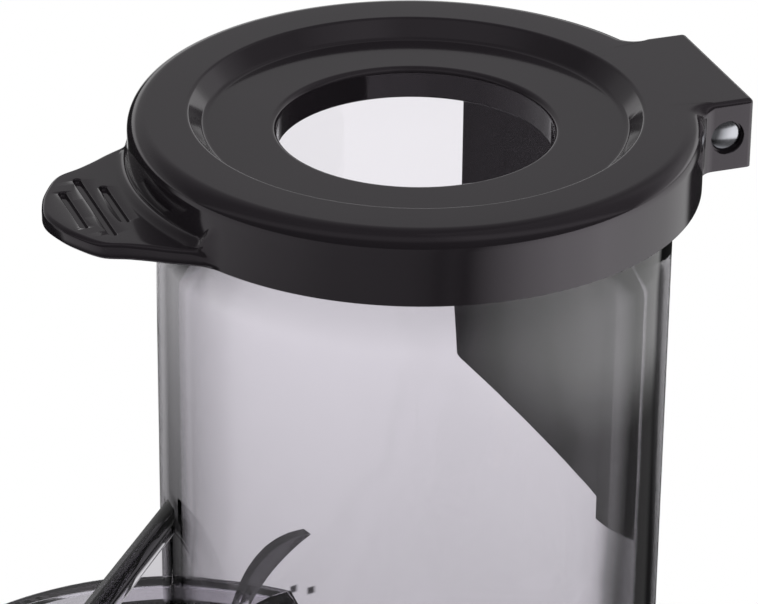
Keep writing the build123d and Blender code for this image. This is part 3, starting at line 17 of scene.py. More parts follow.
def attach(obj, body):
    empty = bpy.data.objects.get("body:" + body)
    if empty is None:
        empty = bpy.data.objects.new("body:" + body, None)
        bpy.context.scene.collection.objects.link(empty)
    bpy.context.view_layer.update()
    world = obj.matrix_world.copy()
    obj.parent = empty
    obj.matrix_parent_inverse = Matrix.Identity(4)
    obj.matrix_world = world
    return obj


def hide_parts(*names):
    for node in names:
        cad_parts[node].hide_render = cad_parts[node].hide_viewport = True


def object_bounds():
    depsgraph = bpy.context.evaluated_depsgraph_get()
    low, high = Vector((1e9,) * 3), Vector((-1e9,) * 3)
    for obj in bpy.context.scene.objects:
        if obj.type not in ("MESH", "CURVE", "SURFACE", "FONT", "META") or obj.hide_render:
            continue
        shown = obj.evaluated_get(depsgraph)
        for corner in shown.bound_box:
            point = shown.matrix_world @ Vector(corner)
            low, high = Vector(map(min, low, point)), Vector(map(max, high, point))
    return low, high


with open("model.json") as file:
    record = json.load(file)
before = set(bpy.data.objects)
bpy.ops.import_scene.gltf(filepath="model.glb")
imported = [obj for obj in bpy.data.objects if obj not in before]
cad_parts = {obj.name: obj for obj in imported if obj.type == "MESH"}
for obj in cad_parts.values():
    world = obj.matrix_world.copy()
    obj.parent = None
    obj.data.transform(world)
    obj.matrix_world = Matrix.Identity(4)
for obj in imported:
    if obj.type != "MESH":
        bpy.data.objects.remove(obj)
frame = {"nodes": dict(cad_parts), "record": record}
cad_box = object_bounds()
bpy.ops.object.select_all(action="DESELECT")
size = [round(side, 4) for side in cad_box[1] - cad_box[0]]
print("CAD box", size, "pieces", len(frame["nodes"]))

# %% [markdown]
# A few sizes are needed in more than one step: the lid sits on the tube, the tube on the
# platform, and the front rib runs from the one to the other. They could be typed again
# wherever they are used, but then the steps drift apart when one of them is changed.

# %% Sizes that several steps share, in millimetres
TUBE_Y, TUBE_R, BORE_R = 43, 43.0, 39.4  # the feed tube's axis behind the screw's, and its radii
TOP_Z, PLATFORM_Z = 466.8, 354.3  # heights of the lid's flat top and the cover's platform
RIB_TOP, RIB_SLOPE = 399.8, radians(49.5)  # where the front rib meets the tube, and its slope
HINGE_Y, HINGE_Z = 92.8, 460.4  # the axis of the lid's hinge
print("lid above the platform", round(TOP_Z - PLATFORM_Z, 1), "mm")

# %% [markdown]
# The camera stands in front of the juicer, a little to its right, and looks down at the
# lid from just above. A long lens keeps the round lid from stretching. The camera could
# be aimed with a Track To constraint, but a matrix made from its three directions is
# exact, needs no helper object, and also takes the slight roll of a hand-held camera.

# %% Camera
EYE = Vector((0.5864, -0.1765, 0.7524))
AIM = Vector((-0.00195, 0.03765, 0.4309))
ROLL = radians(0.6)
SENSOR_MM, LENS_MM = 36, 198.86

forward = (AIM - EYE).normalized()
level = forward.cross(Vector((0, 0, 1))).normalized()
right = level * cos(ROLL) + level.cross(forward) * sin(ROLL)
up = right.cross(forward)
turned_to = Matrix((right, up, -forward)).transposed().to_4x4()

bpy.ops.object.camera_add()
camera = bpy.context.object
camera.matrix_world = Matrix.Translation(EYE) @ turned_to
camera.data.sensor_width, camera.data.lens = SENSOR_MM, LENS_MM
camera.data.clip_start, camera.data.clip_end = 0.02, 60
bpy.context.scene.camera = camera
bpy.context.scene.view_settings.view_transform = "Standard"
print("camera", round((AIM - EYE).length, 4), "m from the feed tube")

# %% [markdown]
# ## Shader maths
# A material that looks moulded, brushed or cast is built from nodes. Written out one node
# at a time that gets long, so one small class wraps a socket and lets Python's own signs
# add the Math nodes. Smooth steps up, down and both make soft masks out of a coordinate.

# %% Sockets that add and multiply
class Wire:
    """One output socket of a node tree."""

    def __init__(self, finish, socket):
        self.finish, self.socket = finish, socket

    def math(self, operation, *others, swap=False):
        values = [self, *others]
        if swap:
            values.reverse()
        sockets = dict(enumerate(values))
        return self.finish.node("ShaderNodeMath", {"operation": operation}, sockets)

    def __add__(self, other): return self.math("ADD", other)
    def __radd__(self, other): return self.math("ADD", other)
    def __sub__(self, other): return self.math("SUBTRACT", other)
    def __rsub__(self, other): return self.math("SUBTRACT", other, swap=True)
    def __mul__(self, other): return self.math("MULTIPLY", other)
    def __rmul__(self, other): return self.math("MULTIPLY", other)
    def __truediv__(self, other): return self.math("DIVIDE", other)

    def above(self, low, high):
        """0 below low, 1 above high, and a smooth rise in between."""
        sockets = {"Value": self, "From Min": low, "From Max": high}
        return self.finish.node("ShaderNodeMapRange", {"interpolation_type": "SMOOTHSTEP"}, sockets)

    def below(self, low, high):
        """1 below low, 0 above high, and a smooth fall in between."""
        return 1 - self.above(low, high)

    def within(self, start, low, high, end):
        """0 outside start and end, and 1 between low and high."""
        return self.above(start, low) * self.below(high, end)


print("wire calls", [name for name in vars(Wire) if name[0] != "_"])

# %% [markdown]
# Every piece gets its own mix of nodes, and wiring them one by one fills pages. A finish
# object keeps the tree, adds a noise, a blend or a bump in one call, and sets a plain number
# straight on its socket. Each finish then reads like a recipe of that material.

# %% A material with its nodes
class Finish:
    """A material, or the world, whose nodes are added in single calls."""

    def __init__(self, owner):
        self.owner = owner
        owner.use_nodes = True
        self.tree = owner.node_tree

    def node(self, kind, settings=None, sockets=None, output=0):
        """Adds a node: its type, its settings, and the values or wires of its sockets."""
        made = self.tree.nodes.new(kind)
        for key, value in (settings or {}).items():
            if key == "stops":
                self.set_stops(made.color_ramp, value)
            else:
                setattr(made, key, value)
        self.feed(made, sockets or {})
        return Wire(self, made.outputs[output])

    def feed(self, node, sockets):
        for key, value in sockets.items():
            if isinstance(value, Wire):
                self.tree.links.new(value.socket, node.inputs[key])
            else:
                node.inputs[key].default_value = value

    def set_stops(self, ramp, stops):
        """Fills a colour ramp with grey stops (place, brightness)."""
        ramp.elements.remove(ramp.elements[-1])
        for index, (place, grey) in enumerate(stops):
            stop = ramp.elements[0] if index == 0 else ramp.elements.new(place)
            stop.position = place
            stop.color = (grey, grey, grey, 1)

    def surface(self, **sockets):
        """Sets the sockets of the material's own shader."""
        shader = self.tree.nodes["Principled BSDF"]
        self.feed(shader, {key.replace("_", " "): value for key, value in sockets.items()})

    def place(self):
        return self.node("ShaderNodeTexCoord", output="Object")

    def parts(self, vector):
        """The x, y and z of a vector, each as a wire."""
        x = self.node("ShaderNodeSeparateXYZ", None, {0: vector})
        return [Wire(self, socket) for socket in x.socket.node.outputs]

    def noise(self, size, detail=2.0, rough=0.5, place=None):
        """Noise between 0 and 1 whose patches are about size metres across."""
        sockets = {"Vector": place or self.place(), "Scale": 1 / size, "Detail": detail,
                   "Roughness": rough}
        return self.node("ShaderNodeTexNoise", None, sockets)

    def stretch(self, x, y, z):
        """Object coordinates, squeezed along each axis, for brushed and drawn finishes."""
        return self.node("ShaderNodeMapping", None, {"Vector": self.place(), "Scale": (x, y, z)})

    def blend(self, share, first, second):
        """A colour between two colours. The colour sockets of a Mix node are 6 and 7."""
        sockets = {0: share, 6: first, 7: second}
        return self.node("ShaderNodeMix", {"data_type": "RGBA"}, sockets, output=2)

    def bump(self, height, depth):
        """Normal from a height between 0 and 1, for a relief depth metres deep."""
        sockets = {"Height": height, "Distance": depth, "Strength": 1.0}
        return self.node("ShaderNodeBump", None, sockets)


print("finish calls", [name for name in vars(Finish) if name[0] != "_"])

# %% [markdown]
# A colour picker gives values from 0 to 255 that are bent for the eye, while a shader
# counts light. The colours could be typed as linear numbers, but nobody can read those.
# Each finish is kept under the slot name that the CAD record gives to its pieces.

# %% Colours and the list of finishes
def tint(red, green, blue):
    """Linear colour from the 0 to 255 values of a colour picker."""
    steps = [value / 255 for value in (red, green, blue)]
    return (*[s / 12.92 if s <= 0.04045 else ((s + 0.055) / 1.055) ** 2.4 for s in steps], 1.0)


def darker(colour, share):
    return (*[share * part for part in colour[:3]], 1.0)


finishes = {}


def finish_for(slot):
    """A new material, kept under the name of the record's slot."""
    finishes[slot] = bpy.data.materials.new(slot)
    return Finish(finishes[slot])


print("middle grey is", round(tint(128, 128, 128)[0], 3), "in linear light")

# %% [markdown]
# ## The studio
# The juicer stands on a pale floor in front of white. Black gloss plastic shows nothing of
# its own: it is a mirror for the room, so the room's brightness all round matters more than
# any lamp. It could be lit with many lamps and black flags. Here a few ramps say how bright
# the surround is in each direction, and both the far floor and the world read them for
# reflections, while the camera itself sees plain white there.

# %% Brightness of the room by direction
VIEW_TURN = atan2(EYE.y - TUBE_Y / 1000, EYE.x)


def facing(finish, direction):
    """How far a direction points to the camera's side, to the right of it, and up."""
    x, y, z = finish.parts(direction)
    near = x * cos(VIEW_TURN) + y * sin(VIEW_TURN)
    return near, y * cos(VIEW_TURN) - x * sin(VIEW_TURN), z


def by_angle(finish, across, along, stops):
    """Brightness from the angle between two parts of a direction, -180 to 180 degrees."""
    share = across.math("ARCTAN2", along) / (2 * pi) + 0.5
    stops = [(0.5 + angle / 360, grey) for angle, grey in stops]
    return finish.node("ShaderNodeValToRGB", {"stops": stops}, {0: share})


# angle to the right of the camera's side; behind the juicer is 180
MIRROR_STOPS = [
    (-180, 1.0), (-169, 0.8), (-163, 0.02), (-108, 0.02), (-99, 0.74), (-73, 0.68), (-48, 0.55),
    (-30, 0.4), (0, 0.32), (8, 0.25), (12, 0.15), (17, 0.22), (23, 0.13), (28, 0.5), (35, 0.95),
    (47, 1.58), (60, 2.0), (80, 2.1), (96, 1.6), (115, 1.15), (134, 0.95), (139, 0.02),
    (174, 0.02), (180, 0.6)]
GLASS_STOPS = [
    (-180, 1.0), (-174, 0.97), (-168, 0.84), (-163, 0.76), (-157, 0.54), (-152, 0.36),
    (-146, 0.42), (-138, 0.42), (-128, 0.6), (0, 0.62), (60, 0.8), (110, 0.7), (122, 0.05),
    (151, 0.05), (154.5, 0.22), (158, 0.3), (161.5, 0.45), (163.5, 0.85), (165, 1.0), (180, 1.0)]
# angle up from the camera's side, over the top (90) and down behind (180)
LIFT_STOPS = [
    (-180, 0.1), (0, 0.06), (35, 0.08), (50, 0.3), (62, 0.3), (78, 0.13), (112, 0.13),
    (140, 0.28), (150, 0.4), (165, 0.4), (171, 0.9), (180, 0.9)]
SIDE_STOPS = [
    (-180, 1.0), (-100, 1.0), (-80, 1.2), (10, 1.0), (30, 1.6), (128, 1.8), (150, 1.0), (180, 1.0)]
print("brightest mirrored direction", max(grey for angle, grey in MIRROR_STOPS))

# %% [markdown]
# The world is the white room around the table. It has to look plain white straight on, and
# still give black gloss its dark and light bands. So it asks which way a ray travels: rays
# from the camera see white, and mirrored rays see the room by direction, as black and white
# cards hung around a product would show.

# %% World
WHITE, SOFT_WHITE = (1, 1, 1, 1), (0.62, 0.62, 0.63, 1)


def ray_kinds(finish):
    """Whether a ray comes from the camera, through glass, or off a mirror."""
    return [finish.node("ShaderNodeLightPath", output=f"Is {kind} Ray")
            for kind in ("Camera", "Transmission", "Glossy")]


world = bpy.data.worlds.new("studio")
bpy.context.scene.world = world
room = Finish(world)
seen, through, mirrored = ray_kinds(room)
near, side, lift = facing(room, room.node("ShaderNodeTexCoord", output="Generated"))
glow = room.node("ShaderNodeVectorMath", {"operation": "MULTIPLY"}, {
    0: by_angle(room, lift, near, LIFT_STOPS), 1: by_angle(room, side, near, SIDE_STOPS)})
tone = room.blend(mirrored, SOFT_WHITE, glow)
tone = room.blend(through, tone, by_angle(room, side, near, GLASS_STOPS))
tone = room.blend(seen, tone, WHITE)
room.feed(room.tree.nodes["Background"], {"Color": tone, "Strength": 1.0})
print("world lit")

# %% [markdown]
# The floor is a plain pale sheet that the juicer stands on and throws its shadow on. Far
# out it turns into a glow as white as the room, so no horizon line is left. For mirrors
# and glass that glow is painted with the same light and dark bands by direction as the
# room, because the lower half of a mirrored view ends on it: painted reflections. Close
# to the juicer the glow that mirrors and clear plastic see is painted dimmer: painted shade.

# %% Floor
OWN_SHADE = (0.28, 0.55)  # metres out: inside it is plain paint, outside it only glows
DIM_GLASS = (0.55, 0.86)  # metres out: how far the glow behind clear plastic is dimmed
DIM_MIRROR = (0.82, 0.9)  # metres out: how far the glow in mirrors is dimmed
# how dark the painted shade in the floor's glow gets close to the juicer, for glass and for mirrors
LEAST_GLASS, LEAST_MIRROR, CONTRAST = 0.64, 0.1, 1.8

bpy.ops.mesh.primitive_circle_add(vertices=96, radius=12, fill_type="NGON", location=(0, 0, 0))
floor = bpy.context.object
floor.name = floor.data.name = "studio_floor"
paint = Finish(bpy.data.materials.new("pale_floor"))
paint.surface(Base_Color=(0.86, 0.86, 0.87, 1), Roughness=0.85, Specular_IOR_Level=0.1)
spot = paint.place()
span = paint.node("ShaderNodeVectorMath", {"operation": "LENGTH"}, {0: spot}, output="Value")
fade = paint.node("ShaderNodeMapRange", None, {
    "Value": span, "From Min": DIM_GLASS[0], "From Max": DIM_GLASS[1], "To Min": LEAST_GLASS})
seen, through, mirrored = ray_kinds(paint)
near, side = facing(paint, spot)[:2]
# the glowing floor's painted reflections: bands by direction for glass and mirrors, with painted
# shade close to the juicer
clear = by_angle(paint, side, near, GLASS_STOPS)
clear = (1 - (1 - clear) * (1 + CONTRAST * (1 - fade))).math("MAXIMUM", 0.02) * fade
dimmed = LEAST_MIRROR + (1 - LEAST_MIRROR) * span.above(*DIM_MIRROR)
mirror = paint.node("ShaderNodeVectorMath", {"operation": "SCALE"}, {
    0: by_angle(paint, side, near, MIRROR_STOPS), "Scale": dimmed})
tone = paint.blend(seen, paint.blend(through, mirror, clear), WHITE)
lit = paint.node("ShaderNodeEmission", None, {"Color": tone, "Strength": 1.0})
share = span.above(*OWN_SHADE) * seen.math("MAXIMUM", through).math("MAXIMUM", mirrored)
own = Wire(paint, paint.tree.nodes["Principled BSDF"].outputs[0])
mixed = paint.node("ShaderNodeMixShader", None, {0: share, 1: own, 2: lit})
paint.feed(paint.tree.nodes["Material Output"], {"Surface": mixed})
floor.data.materials.append(paint.owner)
print("floor", [round(side, 2) for side in floor.dimensions])

# %% [markdown]
# Two large soft lamps shape the body: one overhead, and a weaker one at the right. Large
# lamps make soft shadows and long highlights, as a light tent does. A small lamp would put
# hard dots on the gloss, and neither lamp shows in mirrors, where the room does that work.

# %% Lamps
def softbox(name, place, aim, side, power):
    """A square soft lamp that shines from place to aim."""
    bpy.ops.object.light_add(type="AREA", location=place)
    lamp = bpy.context.object
    lamp.name = lamp.data.name = name
    lamp.rotation_euler = (Vector(aim) - Vector(place)).to_track_quat("-Z", "Y").to_euler()
    lamp.data.shape, lamp.data.size, lamp.data.size_y = "RECTANGLE", side, side
    lamp.data.energy = power
    lamp.visible_glossy = False


softbox("overhead", (0.1, 0.1, 2.0), (0, 0, 0.3), 1.6, 14)
softbox("right_side", (0.9, 1.1, 1.1), (0, 0.04, 0.3), 1.0, 9)
print("lamps", [lamp.name for lamp in bpy.data.lights])

# %% [markdown]
# ## Finishes of the CAD pieces
# Every CAD piece gets a finish that belongs to how it is made. Moulded plastic has a fine
# grain or a polish with faint flow marks, turned steel has rings round its axis, and a
# casting is rough all over. Each recipe below is one function with a few dials, because
# the same recipe serves several pieces with other colours.

# %% Moulded plastic
def moulded(slot, colour, rough, grain=0.0006, depth=0.00002, sway=0.05):
    """Plastic from a mould: an even colour, slightly uneven shine, and a fine grain."""
    plastic = finish_for(slot)
    patches = plastic.noise(0.03, detail=3)
    shade = plastic.blend(patches.above(0.3, 0.7), colour, darker(colour, 0.9))
    fine = plastic.noise(grain, detail=2)
    scuffs = plastic.noise(0.006, detail=6, rough=0.7)
    shine = rough + sway * (patches - 0.5) + 0.6 * sway * (scuffs - 0.5)
    plastic.surface(Base_Color=shade, Roughness=shine, IOR=1.49, Normal=plastic.bump(fine, depth))


moulded("base_shell", tint(36, 35, 38), 0.32, grain=0.0007, depth=0.00003)
moulded("dark_plastic", tint(30, 30, 32), 0.42, depth=0.00003)
moulded("auger_plastic", tint(58, 56, 60), 0.38)
moulded("frame_plastic", tint(190, 188, 184), 0.36)
moulded("gear_nylon", tint(226, 222, 208), 0.46, grain=0.0005)
print("plastics", sorted(finishes))

# %% [markdown]
# Rubber and silicone are soft, so light goes a little way in and the surface never gets a
# hard highlight. Rubber is nearly black and dusty; food silicone is milky and smoother.

# %% Rubber and silicone
def soft(slot, colour, dusty, rough):
    """Rubber: dull, with a dusty bloom in patches and a fine bump."""
    rubber = finish_for(slot)
    bloom = rubber.noise(0.012, detail=5, rough=0.6).above(0.45, 0.75)
    shade = rubber.blend(bloom * 0.5, colour, dusty)
    fine = rubber.noise(0.0008, detail=3)
    rubber.surface(Base_Color=shade, Roughness=rough + 0.08 * bloom,
                   Normal=rubber.bump(fine, 0.00004))


soft("rubber", tint(34, 33, 33), tint(70, 68, 66), 0.72)
soft("silicone", tint(176, 178, 176), tint(200, 200, 198), 0.5)
print("soft finishes", sorted(finishes))

# %% [markdown]
# Metal is all reflection, so its marks are in its roughness and its relief. Turned and
# ground pieces have fine rings, which here come from noise squeezed along Z. Castings
# have a coarse, even roughness instead, and sheet steel a long drawn grain.

# %% Metals
def metal(slot, colour, rough, squeeze=(1, 1, 1), grain=0.0008, depth=0.00001):
    """Bare metal: grain squeezed along an axis, and duller patches."""
    bare = finish_for(slot)
    lines = bare.noise(grain, detail=3, place=bare.stretch(*squeeze))
    patches = bare.noise(0.02, detail=4, rough=0.6)
    shade = bare.blend(patches.above(0.35, 0.75), colour, darker(colour, 0.85))
    shine = rough + 0.12 * (lines - 0.5) + 0.08 * (patches - 0.5)
    bare.surface(Base_Color=shade, Metallic=1.0, Roughness=shine, Normal=bare.bump(lines, depth))


metal("steel", tint(188, 189, 190), 0.28, squeeze=(0.15, 0.15, 3))
metal("gear_steel", tint(160, 160, 162), 0.34, squeeze=(0.3, 0.3, 2))
metal("bright_pin", tint(158, 159, 164), 0.16, squeeze=(2, 1, 1), depth=0.000004)
metal("zinc_case", tint(150, 151, 153), 0.5, grain=0.0012, depth=0.00006)
metal("stator_iron", tint(92, 94, 98), 0.42, squeeze=(0.05, 0.05, 4), grain=0.0011, depth=0.00004)
metal("bearing_bronze", tint(176, 132, 78), 0.33, squeeze=(0.3, 0.3, 2))
print("metals", sorted(finishes))

# %% [markdown]
# Three finishes are special. The field coils are wound copper wire under lacquer, so a
# wave makes the strands. The brushes are pressed graphite: dull, dark, with tiny bright
# flakes. The control board is green lacquer over copper tracks, which a pattern of narrow
# joints hints at.

# %% Copper winding, graphite and board
copper = finish_for("copper")
strands = copper.node("ShaderNodeTexWave", {"wave_type": "BANDS", "bands_direction": "Z"}, {
    "Vector": copper.place(), "Scale": 320.0, "Distortion": 1.2, "Detail": 2.0,
    "Detail Scale": 0.4}, output=1)
tone = copper.blend(strands, tint(92, 44, 22), tint(196, 108, 62))
copper.surface(Base_Color=tone, Metallic=0.85, Roughness=0.3 + 0.1 * (1 - strands),
               Normal=copper.bump(strands, 0.0003))

graphite = finish_for("graphite")
flakes = graphite.noise(0.0005, detail=4, rough=0.7).above(0.55, 0.7)
tone = graphite.blend(flakes, tint(40, 40, 42), tint(96, 96, 100))
graphite.surface(Base_Color=tone, Roughness=0.62 - 0.3 * flakes, Metallic=0.3 * flakes,
                 Normal=graphite.bump(flakes, 0.00003))

board = finish_for("board")
tracks = board.node("ShaderNodeTexBrick", None, {
    "Vector": board.place(), "Scale": 130.0, "Mortar Size": 0.06, "Mortar Smooth": 0.2}, output=1)
tone = board.blend(tracks, tint(22, 74, 46), tint(58, 122, 76))
board.surface(Base_Color=tone, Roughness=0.32 + 0.1 * tracks, Coat_Weight=0.4,
              Normal=board.bump(tracks, 0.00005))
print("special finishes", sorted(finishes))

# %% [markdown]
# ## Black gloss and clear smoke
# The lid is polished black plastic. Its colour hardly matters; what shows is the mirror
# of the room, broken by the faintest waviness from the mould and by hairline scratches.
# A flat black with painted highlights would look right from one side only.

# %% Polished black
gloss = finish_for("lid_plastic")
drift = gloss.noise(0.05, detail=2)
hair = gloss.noise(0.0011, detail=4, rough=0.65, place=gloss.stretch(1, 0.06, 1))
tone = gloss.blend(drift.above(0.3, 0.7), tint(24, 21, 24), tint(28, 25, 28))
gloss.surface(Base_Color=tone, Roughness=0.085 + 0.03 * drift + 0.05 * hair.above(0.66, 0.8),
              IOR=1.5, Specular_Tint=(1.0, 0.92, 1.0, 1.0), Normal=gloss.bump(drift, 0.00002))
print("lid finish nodes", len(gloss.tree.nodes))

# %% [markdown]
# The cover, the bowl and the spout are clear plastic with a little grey tint. It could be
# faked with plain see-through alpha, but the thick walls bend the light at the rims, and
# only true refraction shows that. Smoked plastic looks darker where light runs along its
# wall, as in a rib seen edge on or in a fin's rim. A volume inside the plastic would do
# this with light, but it is slow and grainy, so a mask by place paints those spots deep
# grey instead: painted shade in the base colour.

# %% Clear smoke
# painted shade: the deep grey that stands in for the darkening of light along the wall
PAINTED_SHADE_GREY = (0.006, 0.0055, 0.0065, 1)

smoke = finish_for("clear_plastic")
drift = smoke.noise(0.02, detail=2)
tone = smoke.blend(drift, (0.855, 0.835, 0.875, 1), (0.875, 0.855, 0.895, 1))
x, y, z = smoke.parts(smoke.place())
off_x = x.math("ABSOLUTE")
behind = y - TUBE_Y / 1000
from_tube = (x * x + behind * behind).math("SQRT")
from_middle = (x * x + y * y).math("SQRT")
over_platform = z.above(0.3544, 0.3552)
under_slope = RIB_TOP / 1000 + tan(RIB_SLOPE) * y - z
# where the painted shade goes: the front rib's edge, its root, the side fins and the platform's rim
rib = over_platform * y.below(-0.0006, 0.0002) * off_x.below(0.002, 0.0026) * (
    under_slope.below(0.0036, 0.0044))
root = over_platform * z.below(0.398, 0.4) * y.within(-0.0008, 0, 0.003, 0.0055) * (
    off_x.below(0.003, 0.0075))
fins = over_platform * from_tube.within(0.0431, 0.0434, 0.0455, 0.0458) * y.above(-0.001, 0.002)
rim = from_middle.within(0.0534, 0.054, 0.0546, 0.0554) * z.within(0.353, 0.3536, 0.3546, 0.355)
painted_edge_shade = rib.math("MAXIMUM", root * 0.95).math("MAXIMUM", fins).math("MAXIMUM", rim)
# the base colour takes the painted shade in those spots
smoke.surface(Base_Color=smoke.blend(painted_edge_shade, tone, PAINTED_SHADE_GREY), Roughness=0.012 * drift,
              IOR=1.5, Transmission_Weight=1.0, Normal=smoke.bump(drift, 0.00002))
print("finishes", len(finishes))

# %% [markdown]
# The record names a material slot for every CAD piece. One pass over all of them puts the
# right finish on each, which is surer than picking forty pieces by hand.

# %% Put the finishes on the CAD pieces
for entry in frame["record"]["subparts"]:
    piece = frame["nodes"][entry["node"]]
    piece.data.materials.clear()
    piece.data.materials.append(finishes[entry["material_slot"]])
print("finished CAD pieces", len(frame["nodes"]))

# %% [markdown]
# ## Tools for modelling by hand
# A few small helpers do what a hand does with the mouse. They pick one piece, run steps
# on all of its mesh in edit mode, and add a modifier and apply it at once. The same calls
# typed out each time would hide what each step is for.

# %% Selecting, editing and cutting
MERGE = 0.000002  # metres: corners closer than this are one corner


def rest():
    """Object mode, with nothing selected."""
    if bpy.context.mode != "OBJECT":
        bpy.ops.object.mode_set(mode="OBJECT")
    bpy.ops.object.select_all(action="DESELECT")


def alone(piece):
    """Makes piece the only selected object."""
    rest()
    piece.select_set(True)
    bpy.context.view_layer.objects.active = piece


def whole_mesh(piece):
    """Edit mode, with all of the piece's mesh selected."""
    alone(piece)
    bpy.ops.object.mode_set(mode="EDIT")
    bpy.ops.mesh.select_all(action="SELECT")


def face_out(piece, merge=False):
    """Turns all faces outwards; merge first joins the corners that lie together."""
    whole_mesh(piece)
    if merge:
        bpy.ops.mesh.remove_doubles(threshold=MERGE)
    bpy.ops.mesh.normals_make_consistent(inside=False)
    rest()


def apply(piece, kind, **settings):
    """Adds a modifier to piece and applies it."""
    alone(piece)
    bpy.ops.object.modifier_add(type=kind)
    modifier = piece.modifiers[-1]
    for key, value in settings.items():
        setattr(modifier, key, value)
    bpy.ops.object.modifier_apply(modifier=modifier.name)


def cut(piece, *others, operation="DIFFERENCE"):
    """Cuts others out of piece, or joins them to it, and removes them."""
    for other in others:
        apply(piece, "BOOLEAN", object=other, operation=operation, solver="EXACT")
        bpy.data.objects.remove(other)


print("corners merge under", MERGE, "m")

# %% [markdown]
# A finished piece is cleaned, shaded and handed over. Faces that meet at a shallow angle
# share their shading, so a rounding looks round, and large flat faces keep theirs. Then
# the piece gets its finish and the body that it moves with, and the CAD piece it stands for is
# hidden.

# %% Smoothing a piece and handing it over
def tidy(piece, angle, weighted=True, merge=MERGE):
    """Merges doubles, turns the faces outwards and smooths the shading."""
    whole_mesh(piece)
    bpy.ops.mesh.remove_doubles(threshold=merge)
    bpy.ops.mesh.dissolve_degenerate(threshold=MERGE / 2)
    bpy.ops.mesh.normals_make_consistent(inside=False)
    alone(piece)
    bpy.ops.object.shade_smooth_by_angle(angle=radians(angle))
    if weighted:
        apply(piece, "WEIGHTED_NORMAL", keep_sharp=True, weight=60)
    rest()
    print(piece.name, "faces", len(piece.data.polygons))


def settle(piece, body, slot, node):
    """Gives a finished piece its finish and its body, and hides the CAD piece it stands for."""
    piece.data.materials.clear()
    piece.data.materials.append(finishes[slot])
    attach(piece, body)
    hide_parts(node)


# %% [markdown]
# A moulding with an outline that is not round, such as the lid with its hinge block and
# thumb tab, is drawn as one loop of edges that is extruded again and again. Each new loop
# is moved to the next step of the shape: up the skirt, round the edge, over the top, and
# down into the dish. The last loop meets the first, which closes the wall. A plug such as
# a grip groove is drawn the same way from a filled loop, and keeps its two end faces.

# %% Extruding one loop after another
def through_loops(name, loops, filled=False):
    """Extrudes the first loop of points to each of the others, and back to it or filled."""
    rest()
    count = len(loops[0])
    bpy.ops.mesh.primitive_circle_add(vertices=count, radius=1,
                                      fill_type="NGON" if filled else "NOTHING")
    piece = bpy.context.object
    piece.name = piece.data.name = name
    mesh, ring = piece.data, list(range(count))
    for step, points in enumerate(loops if filled else [*loops, loops[0]]):
        if step:
            start = len(mesh.vertices)
            bpy.ops.object.mode_set(mode="EDIT")
            if filled:
                bpy.ops.mesh.extrude_region_move()
            else:
                bpy.ops.mesh.extrude_edges_move()
            bpy.ops.object.mode_set(mode="OBJECT")
            fresh = {tuple(mesh.vertices[i].co): i for i in range(start, len(mesh.vertices))}
            ring = [fresh[tuple(mesh.vertices[i].co)] for i in ring]
        for index, point in zip(ring, points):
            mesh.vertices[index].co = point
    face_out(piece, merge=not filled)
    return piece


def steps_between(start, end, count):
    return [start + (end - start) * k / count for k in range(1, count + 1)]


print("steps from 0 to 1:", steps_between(0, 1, 4))

# %% [markdown]
# A pin, a tube and a round platform are turned: a filled circle is extruded along its axis
# and resized at each step of its section. A spun curve gives the same form, but its two
# poles pinch the shading, while here both ends are flat discs.

# %% Solids of revolution, sizes in millimetres
def turned(name, centre, section, vertices, along=(0, 0, 1)):
    """Turns (radius, place along the axis) points about an axis through centre."""
    rest()
    (radius, place), *others = section
    bpy.ops.mesh.primitive_circle_add(
        vertices=vertices, radius=radius / 1000, fill_type="NGON",
        location=[c / 1000 + place / 1000 * a for c, a in zip(centre, along)],
        rotation=(0, pi / 2 * along[0], 0))
    piece = bpy.context.object
    piece.name = piece.data.name = name
    bpy.ops.object.mode_set(mode="EDIT")
    bpy.ops.mesh.select_all(action="SELECT")
    for new_radius, new_place in others:
        step = tuple((new_place - place) / 1000 * a for a in along)
        middle = [c / 1000 + new_place / 1000 * a for c, a in zip(centre, along)]
        bpy.ops.mesh.extrude_region_move(TRANSFORM_OT_translate={"value": step})
        bpy.ops.transform.resize(value=[1 if a else new_radius / radius for a in along],
                                 center_override=middle)
        radius, place = new_radius, new_place
    face_out(piece)
    alone(piece)
    bpy.ops.object.transform_apply(location=True, rotation=True, scale=True)
    return piece


print("a turn in 48 steps has", 360 / 48, "degrees in each")

# %% [markdown]
# Moulded sections have rounded corners, never sharp ones, because molten plastic doesn't
# fill a sharp corner. An outline is typed as a few corners with a radius each, and the
# roundings are worked out. A bevel on the finished mesh is simpler, but it overlaps where
# two roundings are as long as the edge between them.

# %% Arcs and rounded corners
def arc(centre, radius, start, end, steps):
    """Points on an arc, angles in degrees."""
    angles = [radians(start + (end - start) * k / steps) for k in range(steps + 1)]
    return [(centre[0] + radius * cos(a), centre[1] + radius * sin(a)) for a in angles]


def softened(corners, steps):
    """A closed outline whose corners (x, y, radius) are rounded."""
    points = []
    for k, (x, y, radius) in enumerate(corners):
        if radius <= 0:
            points.append((x, y))
            continue
        here = Vector((x, y))
        before = (Vector(corners[k - 1][:2]) - here).normalized()
        after = (Vector(corners[(k + 1) % len(corners)][:2]) - here).normalized()
        half = before.angle(after) / 2
        reach = radius / tan(half)
        middle = here + (before + after).normalized() * radius / sin(half)
        first, last = here + before * reach - middle, here + after * reach - middle
        turn = first.angle_signed(last)
        for n in range(steps + 1):
            spoke = first.copy()
            spoke.rotate(Matrix.Rotation(-turn * n / steps, 2))
            points.append(tuple(middle + spoke))
    return points


square = softened([(0, 0, 1), (4, 0, 1), (4, 4, 1), (0, 4, 1)], 4)
print("a rounded square has", len(square), "points")

# %% [markdown]
# ## The chute lid
# The lid is one black moulding: a dished ring with a round hole, a skirt that hangs over
# the feed tube, a thumb tab in front and a hinge block behind. It could be joined from a
# disc, a bar and a tab, but then the soft transitions would be missing. So its outline is
# worked out once as a function of how far it is set in from the edge, and the extruded
# loops use that outline at every height.

